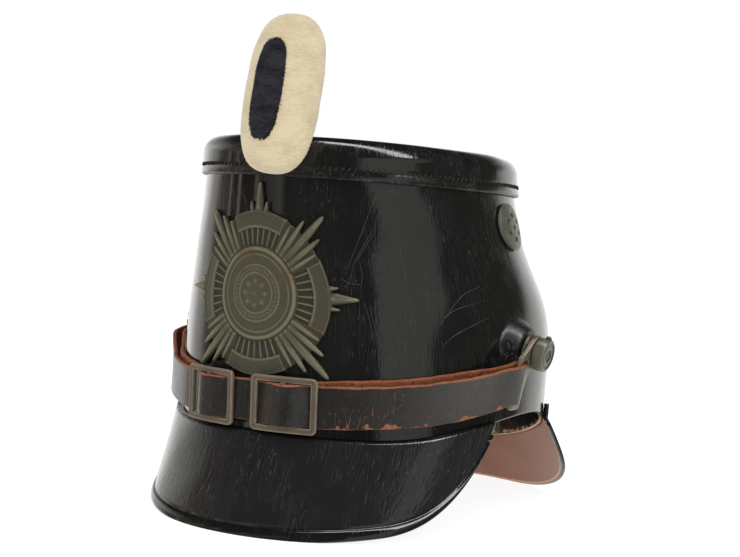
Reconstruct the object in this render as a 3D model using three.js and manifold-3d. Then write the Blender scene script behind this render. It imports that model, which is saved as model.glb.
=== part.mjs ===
// A black lacquered leather shako: crown, stitched top, front peak and neck guard, with a star
// plate, a wool field badge, two side vents, and a chin strap that hangs on two side posts.
// Millimetres, +Z up. The front is -Y and the wearer's left is +X.
// Heights are measured from the base line, where the crown's lower edge passes over the ears.
// Azimuths are measured from the front, positive towards the wearer's left.

import * as THREE from 'three';
import { mergeVertices } from 'three/addons/utils/BufferGeometryUtils.js';
import Module from 'manifold-3d';

const manifold = await Module();
manifold.setup();

const { clamp, degToRad, lerp, radToDeg } = THREE.MathUtils;
const UP = new THREE.Vector3(0, 0, 1);

// Whole hat
const REST_DEPTH = 51.5; // the surface that the hat rests on, below the base line
const GAP = 0.3; // between neighbouring pieces
const SIDES = { left: 1, right: -1 };

// Crown: one row for each height, with its reach to the front, back and side
const CROWN_WALL = 2.2;
const CROWN_COLUMNS = 54;
const CROWN_SECTIONS = [
  { height: -30, front: 95, back: 94.5, side: 86.5 },
  { height: 0, front: 96, back: 96.5, side: 87 },
  { height: 15, front: 96.8, back: 98.5, side: 87 },
  { height: 30, front: 97.6, back: 101, side: 86.2 },
  { height: 45, front: 98.2, back: 100, side: 84.5 },
  { height: 55, front: 98.6, back: 95.5, side: 82 },
  { height: 65, front: 99, back: 88.5, side: 79 },
  { height: 75, front: 99.5, back: 80.5, side: 76.2 },
  { height: 88, front: 99.7, back: 75.5, side: 72.9 },
  { height: 104, front: 100, back: 72, side: 70.2 },
  { height: 126, front: 100.5, back: 69.5, side: 68.7 },
];
// Lower edge of the crown, which dips at the front and at the nape
const LOWER_EDGE = [
  { azimuth: 0, height: -14 },
  { azimuth: 46, height: -13.5 },
  { azimuth: 64, height: -6.5 },
  { azimuth: 80, height: -0.5 },
  { azimuth: 102, height: 0 },
  { azimuth: 120, height: -8 },
  { azimuth: 140, height: -17.5 },
  { azimuth: 160, height: -24.5 },
  { azimuth: 180, height: -27 },
];
const CROWN_ROWS_OUT = [0, 0.1, 0.18, 0.25, 0.31, 0.37, 0.44, 0.53, 0.63, 0.74, 0.87, 1];
const CROWN_ROWS_IN = [0, 0.16, 0.25, 0.33, 0.42, 0.53, 0.66, 0.82, 1];

// Side posts and the leather bosses under them
const POST_AZIMUTH = degToRad(84.4);
const POST_HEIGHT = 32.2;
const POST_DROOP = degToRad(10); // the posts point a little downwards
const POST_SWEEP = degToRad(8); // and a little backwards
const POST_FOOT = 6.3; // the foot's distance out from the plain crown
const BOSS_HEIGHT = 5.7;
const BOSS_TOP_RADIUS = 9.5;
const BOSS_RADIUS = 14;
const BOSS_SHIFT = 2.2; // its middle lies a little behind the post
const BOSS_ROUNDING = 0.2; // share of its flank that is rounded at each end
const POST_SEGMENTS = 18;
const POST_HEAD_RADIUS = 7.7;
const POST_PROFILE = [
  { radius: 0, out: 0 },
  { radius: 8.3, out: 0 },
  { radius: 8.3, out: 0.9 },
  { radius: 7.4, out: 1.7 },
  { radius: 5, out: 1.7 },
  { radius: 5, out: 4.8 },
  { radius: 7.2, out: 4.8 },
  { radius: POST_HEAD_RADIUS, out: 5.3 },
  { radius: POST_HEAD_RADIUS, out: 9.7 },
  { radius: 7, out: 10.4 },
  { radius: 0, out: 10.4 },
];
const POST_NOSE = { radius: 1.5, out: 8.6, segments: 8, rings: 6 };

// Strap loops: flat stirrups in the plane across the post, x towards the front and y up
const LOOP_THICKNESS = 2.2;
const LOOP_SEAT = 2.2; // the loop's inner face, out from the post's foot
const LOOP_HOLE_RADIUS = 5.4;
const LOOP_RING_RADIUS = 8;
const LOOP_BAR_WIDTH = 2.2;
const LOOP_BAR = { x: 13.8, top: -2.75, bottom: -24.8 };
const LOOP_END_RADIUS = 1.9;
// Outside of the lower arm, from the ring to where it turns to the bar
const LOOP_ARM = [{ x: 4.6, y: -11.2 }, { x: 5.7, y: -14.5 }, { x: 6.4, y: -25.8 }];
const LOOP_SLOT_WIDTH = 4.2;
const LOOP_SLOT_END = 1; // metal left at each end of the slot
const LOOP_SLOT_BEND = -12; // where the slot starts to lean towards the ring
const LOOP_HOLE_SIDES = 16;
// Angles in degrees at which the round stretches of the loop's outline and slot are drawn
const LOOP_ARCS = {
  ring: [55, 90, 125, 160, 195, 232, 268],
  barFoot: [265, 310, 350],
  barHead: [10, 50, 90],
  slot: [322, 342],
};

// Crown top
const TOP_WALL = 1.8;
const TOP_SKIRT = 18.4; // height of its side
const TOP_EDGE = 103.6; // height of its lower edge at the middle
const TOP_SLOPE = 0.018; // the top rises towards the front
const TOP_SHOULDER = 8;
const TOP_DOME = 1.6;
const TOP_LAP = 10; // how far the crown reaches up inside the skirt
// Rings of its outside and inside: shares of the way from the middle to the shoulder, then shares of
// the shoulder's quarter turn
const TOP_RINGS = { plateau: [0.45, 0.85], shoulder: [1, 0.6, 0.25], skirtMiddle: 6 };
const TOP_RINGS_IN = { shoulder: [0, 0.5, 1], plateau: [0.45] };

// Front peak: a ruled sheet from its upper edge, lapped over the crown, to an oval edge line
const PEAK_WALL = 2.4;
const PEAK_UPPER_EDGE = [
  { azimuth: 0, height: -8 },
  { azimuth: 48, height: -7.5 },
  { azimuth: 66, height: -2.5 },
  { azimuth: 80, height: 0.5 },
];
const PEAK_EDGE = { centre: -36, front: 81, side: 80.5, spread: 1.15 };
const PEAK_CORNER_START = degToRad(45);
const PEAK_CORNER_END = degToRad(75);
const PEAK_CORNER_BULGE = 2.3; // exponent of its rounded corners
const PEAK_END = degToRad(74.7);
const PEAK_RISE = 0.1166; // the edge rises towards the sides
const PEAK_EDGE_LEVEL = -38.8;
const PEAK_COLUMNS = 40;
const PEAK_BEAD = 4.8; // height of the bead along the edge
const PEAK_BEAD_OUT = 1; // how far the bead stands proud
// The bead's profile, in shares of its height up from the edge and of how far it stands proud
const PEAK_BEAD_PROFILE = [
  { up: 1.4, out: 0 },
  { up: 0.85, out: 1 },
  { up: 0.2, out: 1 },
  { up: -0.08, out: 0 },
];

// Neck guard: one row for each azimuth from the nape, with the depth of its edge
const GUARD_WALL = 2.4;
const GUARD_FLANGE = 7;
const GUARD_FLARE = 0.64;
const GUARD_HALF_SPAN = degToRad(67);
const GUARD_COLUMNS = 32;
const GUARD_EDGE_ROUND = { rise: 1, inset: 0.6 };
const GUARD_EDGE = [
  { azimuth: 0, height: -52.2 },
  { azimuth: 16, height: -52 },
  { azimuth: 28, height: -50.3 },
  { azimuth: 38, height: -45.5 },
  { azimuth: 47, height: -38.5 },
  { azimuth: 55, height: -29.5 },
  { azimuth: 61, height: -19 },
  { azimuth: 67, height: -8 },
];

// Front plate: half a quadrant of its outline, from a cross ray to the middle of a diagonal bundle
const PLATE_HEIGHT = 53.2;
const PLATE_AZIMUTH = degToRad(0.7);
const PLATE_STANDOFF = 0.5;
const PLATE_DISC = 37;
const PLATE_WIDTH_SHARE = 0.92; // it is a little taller than wide
const PLATE_OUTLINE = [
  { angle: 0, radius: 48.5, ridge: 0.9 },
  { angle: 3.4, radius: 39.5, ridge: 0.2 },
  { angle: 5.6, radius: 38.6, ridge: 0 },
  { angle: 7.2, radius: 40.6, ridge: 0.3 },
  { angle: 8.6, radius: 37, ridge: 0 },
  { angle: 17, radius: 37, ridge: 0.3 },
  { angle: 26, radius: 37, ridge: 0 },
  { angle: 29, radius: 37, ridge: 0.8 },
  { angle: 32.5, radius: 36.5, ridge: -0.3 },
  { angle: 37, radius: 42, ridge: 0.9 },
  { angle: 40.8, radius: 38, ridge: -0.3 },
  { angle: 45, radius: 50.5, ridge: 1.1 },
];
const PLATE_FOOT_SPAN = 8; // degrees each side of the lowest point, which has no ray
// Relief rings of the plate, with the share of the outline's ridges that each carries
const PLATE_RINGS = [
  { radius: 5, out: 2.4, ridges: 0 },
  { radius: 9.5, out: 2.9, ridges: 0 },
  { radius: 19.6, out: 2.9, ridges: 0 },
  { radius: 21.4, out: 2, ridges: 0.4 },
  { radius: 29, out: 2.2, ridges: 1 },
];
const PLATE_BACK_RINGS = [0.95, 0.65, 0.35]; // shares of the disc's radius
const PLATE_CENTRE_OUT = 3.4;
const PLATE_EDGE_OUT = 1.3;
const PLATE_EDGE_RIDGES = 0.3; // share of the ridges that is left at the edge

// Field badge
const BADGE = { height: 70, width: 36, depth: 25.5 };
const BADGE_ROWS = 15;
const BADGE_COLUMNS = 24;
const BADGE_BULGE = 2.9; // exponent of its oval outline
const BADGE_LEAN = degToRad(10.5);
const BADGE_SIDE_STEP = 16; // it sits a little to the wearer's left
const BADGE_FOOT = 106.2; // height of its lower tip
const BADGE_FRONT = 116.5; // how far its lower tip stands forward
const CENTRE_OVAL = { height: 44, width: 15, depth: 1.6, rise: -0.9 };
// Rings of the dark centre from the middle of its front to the middle of its back
const CENTRE_RINGS = [
  { share: 0.4, out: 1 },
  { share: 0.8, out: 1 },
  { share: 0.97, out: 0.6 },
  { share: 1, out: 0 },
  { share: 0.8, out: 0 },
  { share: 0.4, out: 0 },
];
const PRONG_RADIUS = 1.3;
const PRONG_SIDES = 10;
const PRONG_HEIGHT = 115;
const PRONG_REACH = { front: 112, back: 92 };

// Vents
const VENT = { azimuth: degToRad(99.5), height: 88.7, radius: 11, thickness: 1.5, dome: 1.1, sides: 28 };
const VENT_HOLES = { count: 6, circle: 5.6, radius: 1.35, sides: 8, start: degToRad(30) };
const VENT_STANDOFF = 0.8;
const VENT_PORT = { radius: 8.5, sides: 16, reach: 6.6 };

// Slide buckles
const BUCKLE = { width: 29, height: 25, bar: 2.6, middleBar: 2.6, thickness: 1.8, lift: 5.4 };
const BUCKLE_CORNERS = { outside: 2.4, window: 0.8 };
const BUCKLE_STEPS = { outside: 5, window: 3 }; // cuts along each straight side, so that it can bend
const BUCKLE_HEIGHT = 5.4;
const BUCKLE_AZIMUTHS = { left: degToRad(11.4), right: degToRad(14) };

// Chin strap: the middle of its thickness is lifted off the crown, layer by layer
const STRAP_WIDTH = 19;
const STRAP_THICKNESS = 1.8;
const STRAP_SAMPLES = 132;
const STRAP_FOLD_STEPS = 5;
const STRAP_FOLD_SLACK = 0.5; // between the fold and the loop's bar
const STRAP_FRONT = { azimuth: 0, height: 5.4, lift: 1.5 };
// Weave through a buckle: distance along the strap from its middle bar, towards the side
const STRAP_WEAVE = [
  { along: -19, lift: 1.7 },
  { along: -14.5, lift: 3.2 },
  { along: -11.4, lift: 3.9 },
  { along: -2.2, lift: 8.7 },
  { along: 2.2, lift: 8.7 },
  { along: 11.4, lift: 3.9 },
  { along: 14.5, lift: 3.8 },
];
const STRAP_OUTER = [
  { azimuth: 30, height: 5.9, lift: 4, turn: 0 },
  { azimuth: 45, height: 7.6, lift: 4.4, turn: 0 },
  { azimuth: 56, height: 9.8, lift: 5.6, turn: 0 },
  { azimuth: 64.5, height: 12.8, lift: 8.6, turn: 0.6 },
  { azimuth: 71, height: 16.1, lift: 11.6, turn: 1 },
];
const STRAP_INNER = [
  { azimuth: 71, height: 16.7, lift: 6.7, turn: 1 },
  { azimuth: 64.5, height: 14.8, lift: 3.9, turn: 0.6 },
  { azimuth: 56, height: 12.2, lift: 1.9, turn: 0 },
  { azimuth: 45, height: 10, lift: 1.5, turn: 0 },
  { azimuth: 30, height: 8.2, lift: 1.5, turn: 0 },
  { azimuth: 20, height: 7, lift: 1.5, turn: 0 },
];
const STRAP_END = { along: 1, lift: 3.9 };

// Materials
const lacquer = new THREE.MeshStandardMaterial({ color: 0x141414, roughness: 0.22 });
const guardLeather = new THREE.MeshStandardMaterial({ color: 0x7a5240, roughness: 0.6 });
const strapLeather = new THREE.MeshStandardMaterial({ color: 0x2a221f, roughness: 0.5 });
const plateMetal = new THREE.MeshStandardMaterial({ color: 0x55523f, roughness: 0.55, metalness: 0.8 });
const nickel = new THREE.MeshStandardMaterial({ color: 0x6e6c5c, roughness: 0.4, metalness: 0.9 });
const steel = new THREE.MeshStandardMaterial({ color: 0x6a6257, roughness: 0.45, metalness: 0.9 });
const creamWool = new THREE.MeshStandardMaterial({ color: 0xe6d2ab, roughness: 0.95 });
const navyWool = new THREE.MeshStandardMaterial({ color: 0x14141f, roughness: 0.95 });

const hat = new THREE.Group();

function addPiece(name, geometry, material) {
  const piece = new THREE.Mesh(geometry, material);
  piece.name = name;
  hat.add(piece);
}

// Smooth curve through a table: the first column is the position, the rest are the values.
function tableCurve(rows, key) {
  const columns = Object.keys(rows[0]).filter((column) => column !== key);
  const positions = rows.map((row) => row[key]);
  const values = rows.flatMap((row) => columns.map((column) => row[column]));
  const curve = new THREE.CubicInterpolant(positions, values, columns.length);
  return (position) => {
    const result = curve.evaluate(clamp(position, positions[0], positions.at(-1)));
    return Object.fromEntries(columns.map((column, i) => [column, result[i]]));
  };
}

// Joins rings of equal length into one closed skin. The ends are joined to each other, closed by
// a fan to a pole point each, or closed by a ladder across a flat ring.
function closedLoft(rings, { poles = null, ladders = false } = {}) {
  const count = rings[0].length;
  const points = rings.flat();
  const faces = [];
  const bands = poles || ladders ? rings.length - 1 : rings.length;
  for (let row = 0; row < bands; row += 1) {
    const next = (row + 1) % rings.length;
    for (let i = 0; i < count; i += 1) {
      const j = (i + 1) % count;
      const [a, b, c, d] = [row * count + i, row * count + j, next * count + j, next * count + i];
      faces.push(a, b, c, a, c, d);
    }
  }
  const last = (rings.length - 1) * count;
  if (poles) {
    points.push(...poles);
    for (let i = 0; i < count; i += 1) {
      const j = (i + 1) % count;
      faces.push(points.length - 2, j, i, points.length - 1, last + i, last + j);
    }
  }
  if (ladders) {
    for (let i = 0; i < count / 2 - 1; i += 1) {
      const far = count - 1 - i;
      faces.push(i + 1, i, far, i + 1, far, far - 1);
      faces.push(last + i, last + i + 1, last + far, last + far, last + i + 1, last + far - 1);
    }
  }
  const geometry = new THREE.BufferGeometry().setFromPoints(points);
  geometry.setIndex(faces);
  return facingOut(geometry);
}

// Turns all faces over where the skin encloses a negative volume.
function facingOut(geometry) {
  const position = geometry.attributes.position;
  const index = geometry.index.array;
  const [a, b, c] = [new THREE.Vector3(), new THREE.Vector3(), new THREE.Vector3()];
  let volume = 0;
  for (let i = 0; i < index.length; i += 3) {
    a.fromBufferAttribute(position, index[i]);
    b.fromBufferAttribute(position, index[i + 1]);
    c.fromBufferAttribute(position, index[i + 2]);
    volume += a.dot(b.cross(c));
  }
  if (volume < 0) {
    for (let i = 0; i < index.length; i += 3) {
      [index[i], index[i + 1]] = [index[i + 1], index[i]];
    }
  }
  return geometry;
}

function toSolid(geometry) {
  const bare = geometry.clone();
  bare.deleteAttribute('normal');
  bare.deleteAttribute('uv');
  const merged = mergeVertices(bare, 1e-4);
  const faces = [];
  for (let i = 0; i < merged.index.count; i += 3) {
    const [a, b, c] = merged.index.array.slice(i, i + 3);
    if (a !== b && b !== c && c !== a) {
      faces.push(a, b, c);
    }
  }
  return new manifold.Manifold(new manifold.Mesh({
    numProp: 3,
    vertProperties: merged.attributes.position.array,
    triVerts: new Uint32Array(faces),
  }));
}

function toGeometry(solid) {
  const mesh = solid.getMesh();
  const geometry = new THREE.BufferGeometry();
  geometry.setAttribute('position', new THREE.BufferAttribute(mesh.vertProperties, 3));
  geometry.setIndex(new THREE.BufferAttribute(mesh.triVerts, 1));
  return geometry;
}

function moveVertices(geometry, place) {
  const position = geometry.attributes.position;
  const point = new THREE.Vector3();
  for (let i = 0; i < position.count; i += 1) {
    point.fromBufferAttribute(position, i);
    position.setXYZ(i, ...place(point).toArray());
  }
  return geometry;
}

// A round rod between two points
function rod(from, to, radius, segments) {
  const way = to.clone().sub(from);
  const geometry = new THREE.CylinderGeometry(radius, radius, way.length(), segments);
  const cylinderAxis = new THREE.Vector3(0, 1, 0);
  geometry.applyQuaternion(new THREE.Quaternion().setFromUnitVectors(cylinderAxis, way.normalize()));
  const middle = from.clone().lerp(to, 0.5);
  return geometry.translate(middle.x, middle.y, middle.z);
}

const crownSection = tableCurve(CROWN_SECTIONS, 'height');
const lowerEdgeCurve = tableCurve(LOWER_EDGE, 'azimuth');
const peakUpperCurve = tableCurve(PEAK_UPPER_EDGE, 'azimuth');
const guardEdgeCurve = tableCurve(GUARD_EDGE, 'azimuth');

// The angle from the front to either side, from 0 to half a turn
function fromFront(azimuth) {
  return Math.abs(Math.atan2(Math.sin(azimuth), Math.cos(azimuth)));
}

function lowerEdge(azimuth) {
  return lowerEdgeCurve(radToDeg(fromFront(azimuth))).height;
}

function crownNormal(azimuth, height) {
  const { front, back, side } = crownSection(height);
  const normal = new THREE.Vector3((front + back) * Math.sin(azimuth), -2 * side * Math.cos(azimuth), 0);
  return normal.normalize();
}

// A point at a distance out from the crown's plain surface
function crownPoint(azimuth, height, out) {
  const { front, back, side } = crownSection(height);
  const y = (back - front) / 2 - ((front + back) / 2) * Math.cos(azimuth);
  const point = new THREE.Vector3(side * Math.sin(azimuth), y, height);
  return point.addScaledVector(crownNormal(azimuth, height), out);
}

// How far down a straight flank with rounded ends a place lies, from 0 to 1
function downFlank(distance, start, end, rounding) {
  const t = clamp((distance - start) / (end - start), 0, 1);
  const near = Math.min(t, 1 - t);
  const eased = near < rounding ? near ** 2 / (2 * rounding) : near - rounding / 2;
  const share = eased / (1 - rounding);
  return t < 0.5 ? share : 1 - share;
}

// How far the pressed boss round a post lifts the leather
function bossLift(azimuth, height) {
  const along = (fromFront(azimuth) - POST_AZIMUTH) * crownSection(height).side;
  const rise = height - POST_HEIGHT;
  const distance = Math.hypot(along - BOSS_SHIFT, rise);
  const fade = 1 - downFlank(distance, BOSS_TOP_RADIUS, BOSS_RADIUS, BOSS_ROUNDING);
  return (BOSS_HEIGHT + rise * Math.tan(POST_DROOP) - along * Math.tan(POST_SWEEP)) * fade;
}

// Lays a flat piece, x along the crown, y up and z outwards, round the crown at one place.
function wrapOnCrown(geometry, azimuth, height) {
  return moveVertices(geometry, ({ x, y, z }) => {
    const around = azimuth + x / crownSection(height).side;
    return crownPoint(around, height + y, z);
  });
}

function topEdge(azimuth) {
  return TOP_EDGE - TOP_SLOPE * crownPoint(azimuth, TOP_EDGE, 0).y;
}

function columnAzimuths(count) {
  return Array.from({ length: count }, (_, i) => (2 * Math.PI * i) / count);
}

function crownBody() {
  const azimuths = columnAzimuths(CROWN_COLUMNS);
  const ring = (row, out) => azimuths.map((azimuth) => {
    const height = lerp(lowerEdge(azimuth), topEdge(azimuth) + TOP_LAP, row);
    return crownPoint(azimuth, height, out + bossLift(azimuth, height));
  });
  const outer = CROWN_ROWS_OUT.map((row) => ring(row, 0));
  const inner = CROWN_ROWS_IN.map((row) => ring(row, -CROWN_WALL)).reverse();
  return closedLoft([...outer, ...inner]);
}

// The top's rings run from the middle of its upper face over the shoulder and down the skirt,
// then back along the inside.
function crownTop() {
  const azimuths = columnAzimuths(CROWN_COLUMNS);
  const skirtOut = GAP + TOP_WALL;
  const skirtPoint = (azimuth, rise, out) => crownPoint(azimuth, topEdge(azimuth) + rise, out);
  const ring = (rise, out) => azimuths.map((azimuth) => skirtPoint(azimuth, rise, out));
  const shoulder = (share, wall) => {
    const radius = TOP_SHOULDER - wall;
    const turn = (share * Math.PI) / 2;
    const rise = TOP_SKIRT - TOP_SHOULDER + radius * Math.sin(turn);
    return ring(rise, skirtOut - TOP_SHOULDER + radius * Math.cos(turn));
  };
  const plateau = (share, drop) => azimuths.map((azimuth) => {
    const rim = skirtPoint(azimuth, TOP_SKIRT - drop, skirtOut - TOP_SHOULDER);
    const middle = topMiddle(drop);
    const point = middle.clone().lerp(rim, share);
    point.z += TOP_DOME * (1 - share ** 2) - TOP_DOME * (1 - share);
    return point;
  });
  const outside = [
    ...TOP_RINGS.plateau.map((share) => plateau(share, 0)),
    ...TOP_RINGS.shoulder.map((share) => shoulder(share, 0)),
    ring(TOP_RINGS.skirtMiddle, skirtOut),
    ring(0, skirtOut),
  ];
  const inside = [
    ring(0, GAP),
    ...TOP_RINGS_IN.shoulder.map((share) => shoulder(share, TOP_WALL)),
    ...TOP_RINGS_IN.plateau.map((share) => plateau(share, TOP_WALL)),
  ];
  return closedLoft([...outside, ...inside], { poles: [topMiddle(0), topMiddle(TOP_WALL)] });
}

function topMiddle(drop) {
  const front = crownPoint(0, topEdge(0), 0);
  const back = crownPoint(Math.PI, topEdge(Math.PI), 0);
  const middle = front.lerp(back, 0.5);
  middle.z += TOP_SKIRT + TOP_DOME - drop;
  return middle;
}

// Keeps leather that meets the surface flat on it.
function settle(point) {
  point.z = Math.max(point.z, -REST_DEPTH);
  return point;
}

function frontPeak() {
  const sections = [];
  for (let i = 0; i <= PEAK_COLUMNS; i += 1) {
    sections.push(peakSection(lerp(-PEAK_END, PEAK_END, i / PEAK_COLUMNS)));
  }
  return closedLoft(sections, { ladders: true });
}

function peakSection(azimuth) {
  const seamHeight = peakUpperCurve(radToDeg(Math.abs(azimuth))).height;
  const seam = crownPoint(azimuth, seamHeight, GAP + PEAK_WALL);
  const swept = azimuth * PEAK_EDGE.spread;
  const y = PEAK_EDGE.centre - PEAK_EDGE.front * Math.cos(swept);
  const far = new THREE.Vector3(PEAK_EDGE.side * Math.sin(swept), y, PEAK_EDGE_LEVEL + PEAK_RISE * y);
  const corner = PEAK_CORNER_END - PEAK_CORNER_START;
  const past = Math.max(0, (Math.abs(azimuth) - PEAK_CORNER_START) / corner);
  const edge = seam.clone().lerp(far, (1 - past ** PEAK_CORNER_BULGE) ** (1 / PEAK_CORNER_BULGE));
  const down = edge.clone().sub(seam);
  const length = down.length();
  down.normalize();
  const normal = crownNormal(azimuth, seamHeight);
  normal.addScaledVector(down, -normal.dot(down)).normalize();
  const at = (fromEdge, out) => {
    const point = edge.clone().addScaledVector(down, -fromEdge);
    return settle(point.addScaledVector(normal, out));
  };
  const bead = Math.min(PEAK_BEAD, length / 3);
  return [
    seam,
    at(length / 2, 0),
    ...PEAK_BEAD_PROFILE.map(({ up, out }) => at(bead * up, PEAK_BEAD_OUT * out)),
    ...PEAK_BEAD_PROFILE.toReversed().map(({ up }) => at(bead * up, -PEAK_WALL)),
    at(length / 2, -PEAK_WALL),
    crownPoint(azimuth, seamHeight, GAP),
  ];
}

function neckGuard() {
  const sections = [];
  for (let i = 0; i <= GUARD_COLUMNS; i += 1) {
    sections.push(guardSection(lerp(-GUARD_HALF_SPAN, GUARD_HALF_SPAN, i / GUARD_COLUMNS)));
  }
  return closedLoft(sections, { ladders: true });
}

function guardSection(fromNape) {
  const azimuth = Math.PI + fromNape;
  const seam = lowerEdge(azimuth);
  const edge = guardEdgeCurve(radToDeg(Math.abs(fromNape))).height;
  const at = (height, out) => {
    const flare = GUARD_FLARE * Math.max(0, seam - height);
    return settle(crownPoint(azimuth, height, out + flare));
  };
  const { rise, inset } = GUARD_EDGE_ROUND;
  const inner = GAP;
  const outer = GAP + GUARD_WALL;
  const middle = lerp(seam, edge, 0.5);
  return [
    at(seam + GUARD_FLANGE, outer),
    at(seam, outer),
    at(middle, outer),
    at(edge + rise, outer),
    at(edge, outer - inset),
    at(edge, inner + inset),
    at(edge + rise, inner),
    at(middle, inner),
    at(seam, inner),
    at(seam + GUARD_FLANGE, inner),
  ];
}

// The plate's outline all the way round, mirrored from half a quadrant. Angle 0 is the top.
function plateOutline() {
  const mirrored = PLATE_OUTLINE.slice(1, -1).reverse().map((row) => ({ ...row, angle: 90 - row.angle }));
  const outline = [];
  for (const start of [0, 90, 180, 270]) {
    for (const row of [...PLATE_OUTLINE, ...mirrored]) {
      const angle = start + row.angle;
      const atFoot = Math.abs(angle - 180) < PLATE_FOOT_SPAN;
      outline.push({ ...row, angle: degToRad(angle), radius: atFoot ? PLATE_DISC : row.radius });
    }
  }
  return outline;
}

function frontPlate() {
  const outline = plateOutline();
  const point = (angle, radius, out) => new THREE.Vector3(
    PLATE_WIDTH_SHARE * radius * Math.sin(angle),
    radius * Math.cos(angle),
    PLATE_STANDOFF + out,
  );
  const rings = PLATE_RINGS.map(({ radius, out, ridges }) =>
    outline.map((row) => point(row.angle, radius, out + ridges * row.ridge)));
  rings.push(outline.map((row) => {
    const ridge = PLATE_EDGE_RIDGES * Math.max(0, row.ridge);
    return point(row.angle, row.radius, PLATE_EDGE_OUT + ridge);
  }));
  rings.push(outline.map((row) => point(row.angle, row.radius, 0)));
  for (const share of PLATE_BACK_RINGS) {
    rings.push(outline.map((row) => point(row.angle, PLATE_DISC * share, 0)));
  }
  const poles = [point(0, 0, PLATE_CENTRE_OUT), point(0, 0, 0)];
  return wrapOnCrown(closedLoft(rings, { poles }), PLATE_AZIMUTH, PLATE_HEIGHT);
}

// Half width and half depth of the badge at a height from its middle
function badgeSection(rise) {
  const share = (1 - Math.abs(rise / (BADGE.height / 2)) ** BADGE_BULGE) ** (1 / BADGE_BULGE);
  return { width: (BADGE.width / 2) * share, depth: (BADGE.depth / 2) * share };
}

// From the badge's own frame, with z up its length and -y to the front, to its place on the hat
const badgePlace = new THREE.Matrix4()
  .makeTranslation(BADGE_SIDE_STEP, -BADGE_FRONT, BADGE_FOOT)
  .multiply(new THREE.Matrix4().makeRotationX(-BADGE_LEAN))
  .multiply(new THREE.Matrix4().makeTranslation(0, 0, BADGE.height / 2));

function badgeWool() {
  const rings = [];
  for (let i = 1; i < BADGE_ROWS; i += 1) {
    const rise = (-BADGE.height / 2) * Math.cos((Math.PI * i) / BADGE_ROWS);
    const { width, depth } = badgeSection(rise);
    rings.push(columnAzimuths(BADGE_COLUMNS).map((turn) =>
      new THREE.Vector3(width * Math.cos(turn), depth * Math.sin(turn), rise)));
  }
  const tip = BADGE.height / 2;
  const poles = [new THREE.Vector3(0, 0, -tip), new THREE.Vector3(0, 0, tip)];
  return closedLoft(rings, { poles }).applyMatrix4(badgePlace);
}

// Fills out an oval towards its corners.
function squared(value) {
  return Math.sign(value) * Math.abs(value) ** (2 / BADGE_BULGE);
}

// The dark centre is a thin oval pad that follows the badge's front face.
function badgeCentre() {
  const pad = (share, out) => columnAzimuths(BADGE_COLUMNS).map((turn) => padPoint(
    share * (CENTRE_OVAL.width / 2) * squared(Math.cos(turn)),
    share * (CENTRE_OVAL.height / 2) * squared(Math.sin(turn)),
    out,
  ));
  const { depth } = CENTRE_OVAL;
  const rings = CENTRE_RINGS.map(({ share, out }) => pad(share, depth * out));
  const poles = [padPoint(0, 0, depth), padPoint(0, 0, 0)];
  return closedLoft(rings, { poles }).applyMatrix4(badgePlace);
}

function padPoint(x, up, out) {
  const rise = up + CENTRE_OVAL.rise;
  const { width, depth } = badgeSection(rise);
  return new THREE.Vector3(x, -depth * Math.sqrt(1 - (x / width) ** 2) - GAP - out, rise);
}

function prongRod(radius) {
  const from = new THREE.Vector3(BADGE_SIDE_STEP, -PRONG_REACH.front, PRONG_HEIGHT);
  const to = new THREE.Vector3(BADGE_SIDE_STEP, -PRONG_REACH.back, PRONG_HEIGHT);
  return rod(from, to, radius, PRONG_SIDES);
}

function pierce(geometry, cutters) {
  const solid = cutters.reduce((left, cutter) => left.subtract(toSolid(cutter)), toSolid(geometry));
  return toGeometry(solid);
}

function circlePath(x, y, radius, segments) {
  return columnAzimuths(segments).map((turn) =>
    new THREE.Vector2(x + radius * Math.cos(turn), y + radius * Math.sin(turn)));
}

function flatPlate(outline, holes, thickness) {
  const shape = new THREE.Shape(outline);
  shape.holes = holes.map((hole) => new THREE.Path(hole));
  return new THREE.ExtrudeGeometry(shape, { depth: thickness, bevelEnabled: false });
}

function vent(side) {
  const { count, circle, radius, sides, start } = VENT_HOLES;
  const holes = [circlePath(0, 0, radius, sides)];
  for (const turn of columnAzimuths(count)) {
    const angle = turn + start;
    holes.push(circlePath(circle * Math.cos(angle), circle * Math.sin(angle), radius, sides));
  }
  const disc = flatPlate(circlePath(0, 0, VENT.radius, VENT.sides), holes, VENT.thickness);
  moveVertices(disc, (point) => {
    const share = 1 - (point.x ** 2 + point.y ** 2) / VENT.radius ** 2;
    return point.setZ(point.z + VENT_STANDOFF + VENT.dome * share);
  });
  return wrapOnCrown(disc, side * VENT.azimuth, VENT.height);
}

function ventPort(side) {
  const inside = crownPoint(side * VENT.azimuth, VENT.height, -VENT_PORT.reach);
  const outside = crownPoint(side * VENT.azimuth, VENT.height, VENT_PORT.reach);
  return rod(inside, outside, VENT_PORT.radius, VENT_PORT.sides);
}

// From a post's own frame, z out along its axis and y up, to its place on the hat
function postPlace(side) {
  const azimuth = side * POST_AZIMUTH;
  const foot = crownPoint(azimuth, POST_HEIGHT, POST_FOOT);
  const level = crownNormal(azimuth, POST_HEIGHT).applyAxisAngle(UP, side * POST_SWEEP);
  const axis = level.clone().multiplyScalar(Math.cos(POST_DROOP)).addScaledVector(UP, -Math.sin(POST_DROOP));
  const along = UP.clone().cross(level).normalize();
  const rise = axis.clone().cross(along);
  return new THREE.Matrix4().makeBasis(along, rise, axis).setPosition(foot);
}

function sidePost(side) {
  const profile = POST_PROFILE.map(({ radius, out }) => new THREE.Vector2(radius, out));
  const turned = new THREE.LatheGeometry(profile, POST_SEGMENTS).rotateX(Math.PI / 2);
  const nose = new THREE.SphereGeometry(POST_NOSE.radius, POST_NOSE.segments, POST_NOSE.rings);
  nose.translate(0, POST_HEAD_RADIUS, POST_NOSE.out);
  return toGeometry(toSolid(turned).add(toSolid(nose))).applyMatrix4(postPlace(side));
}

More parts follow.
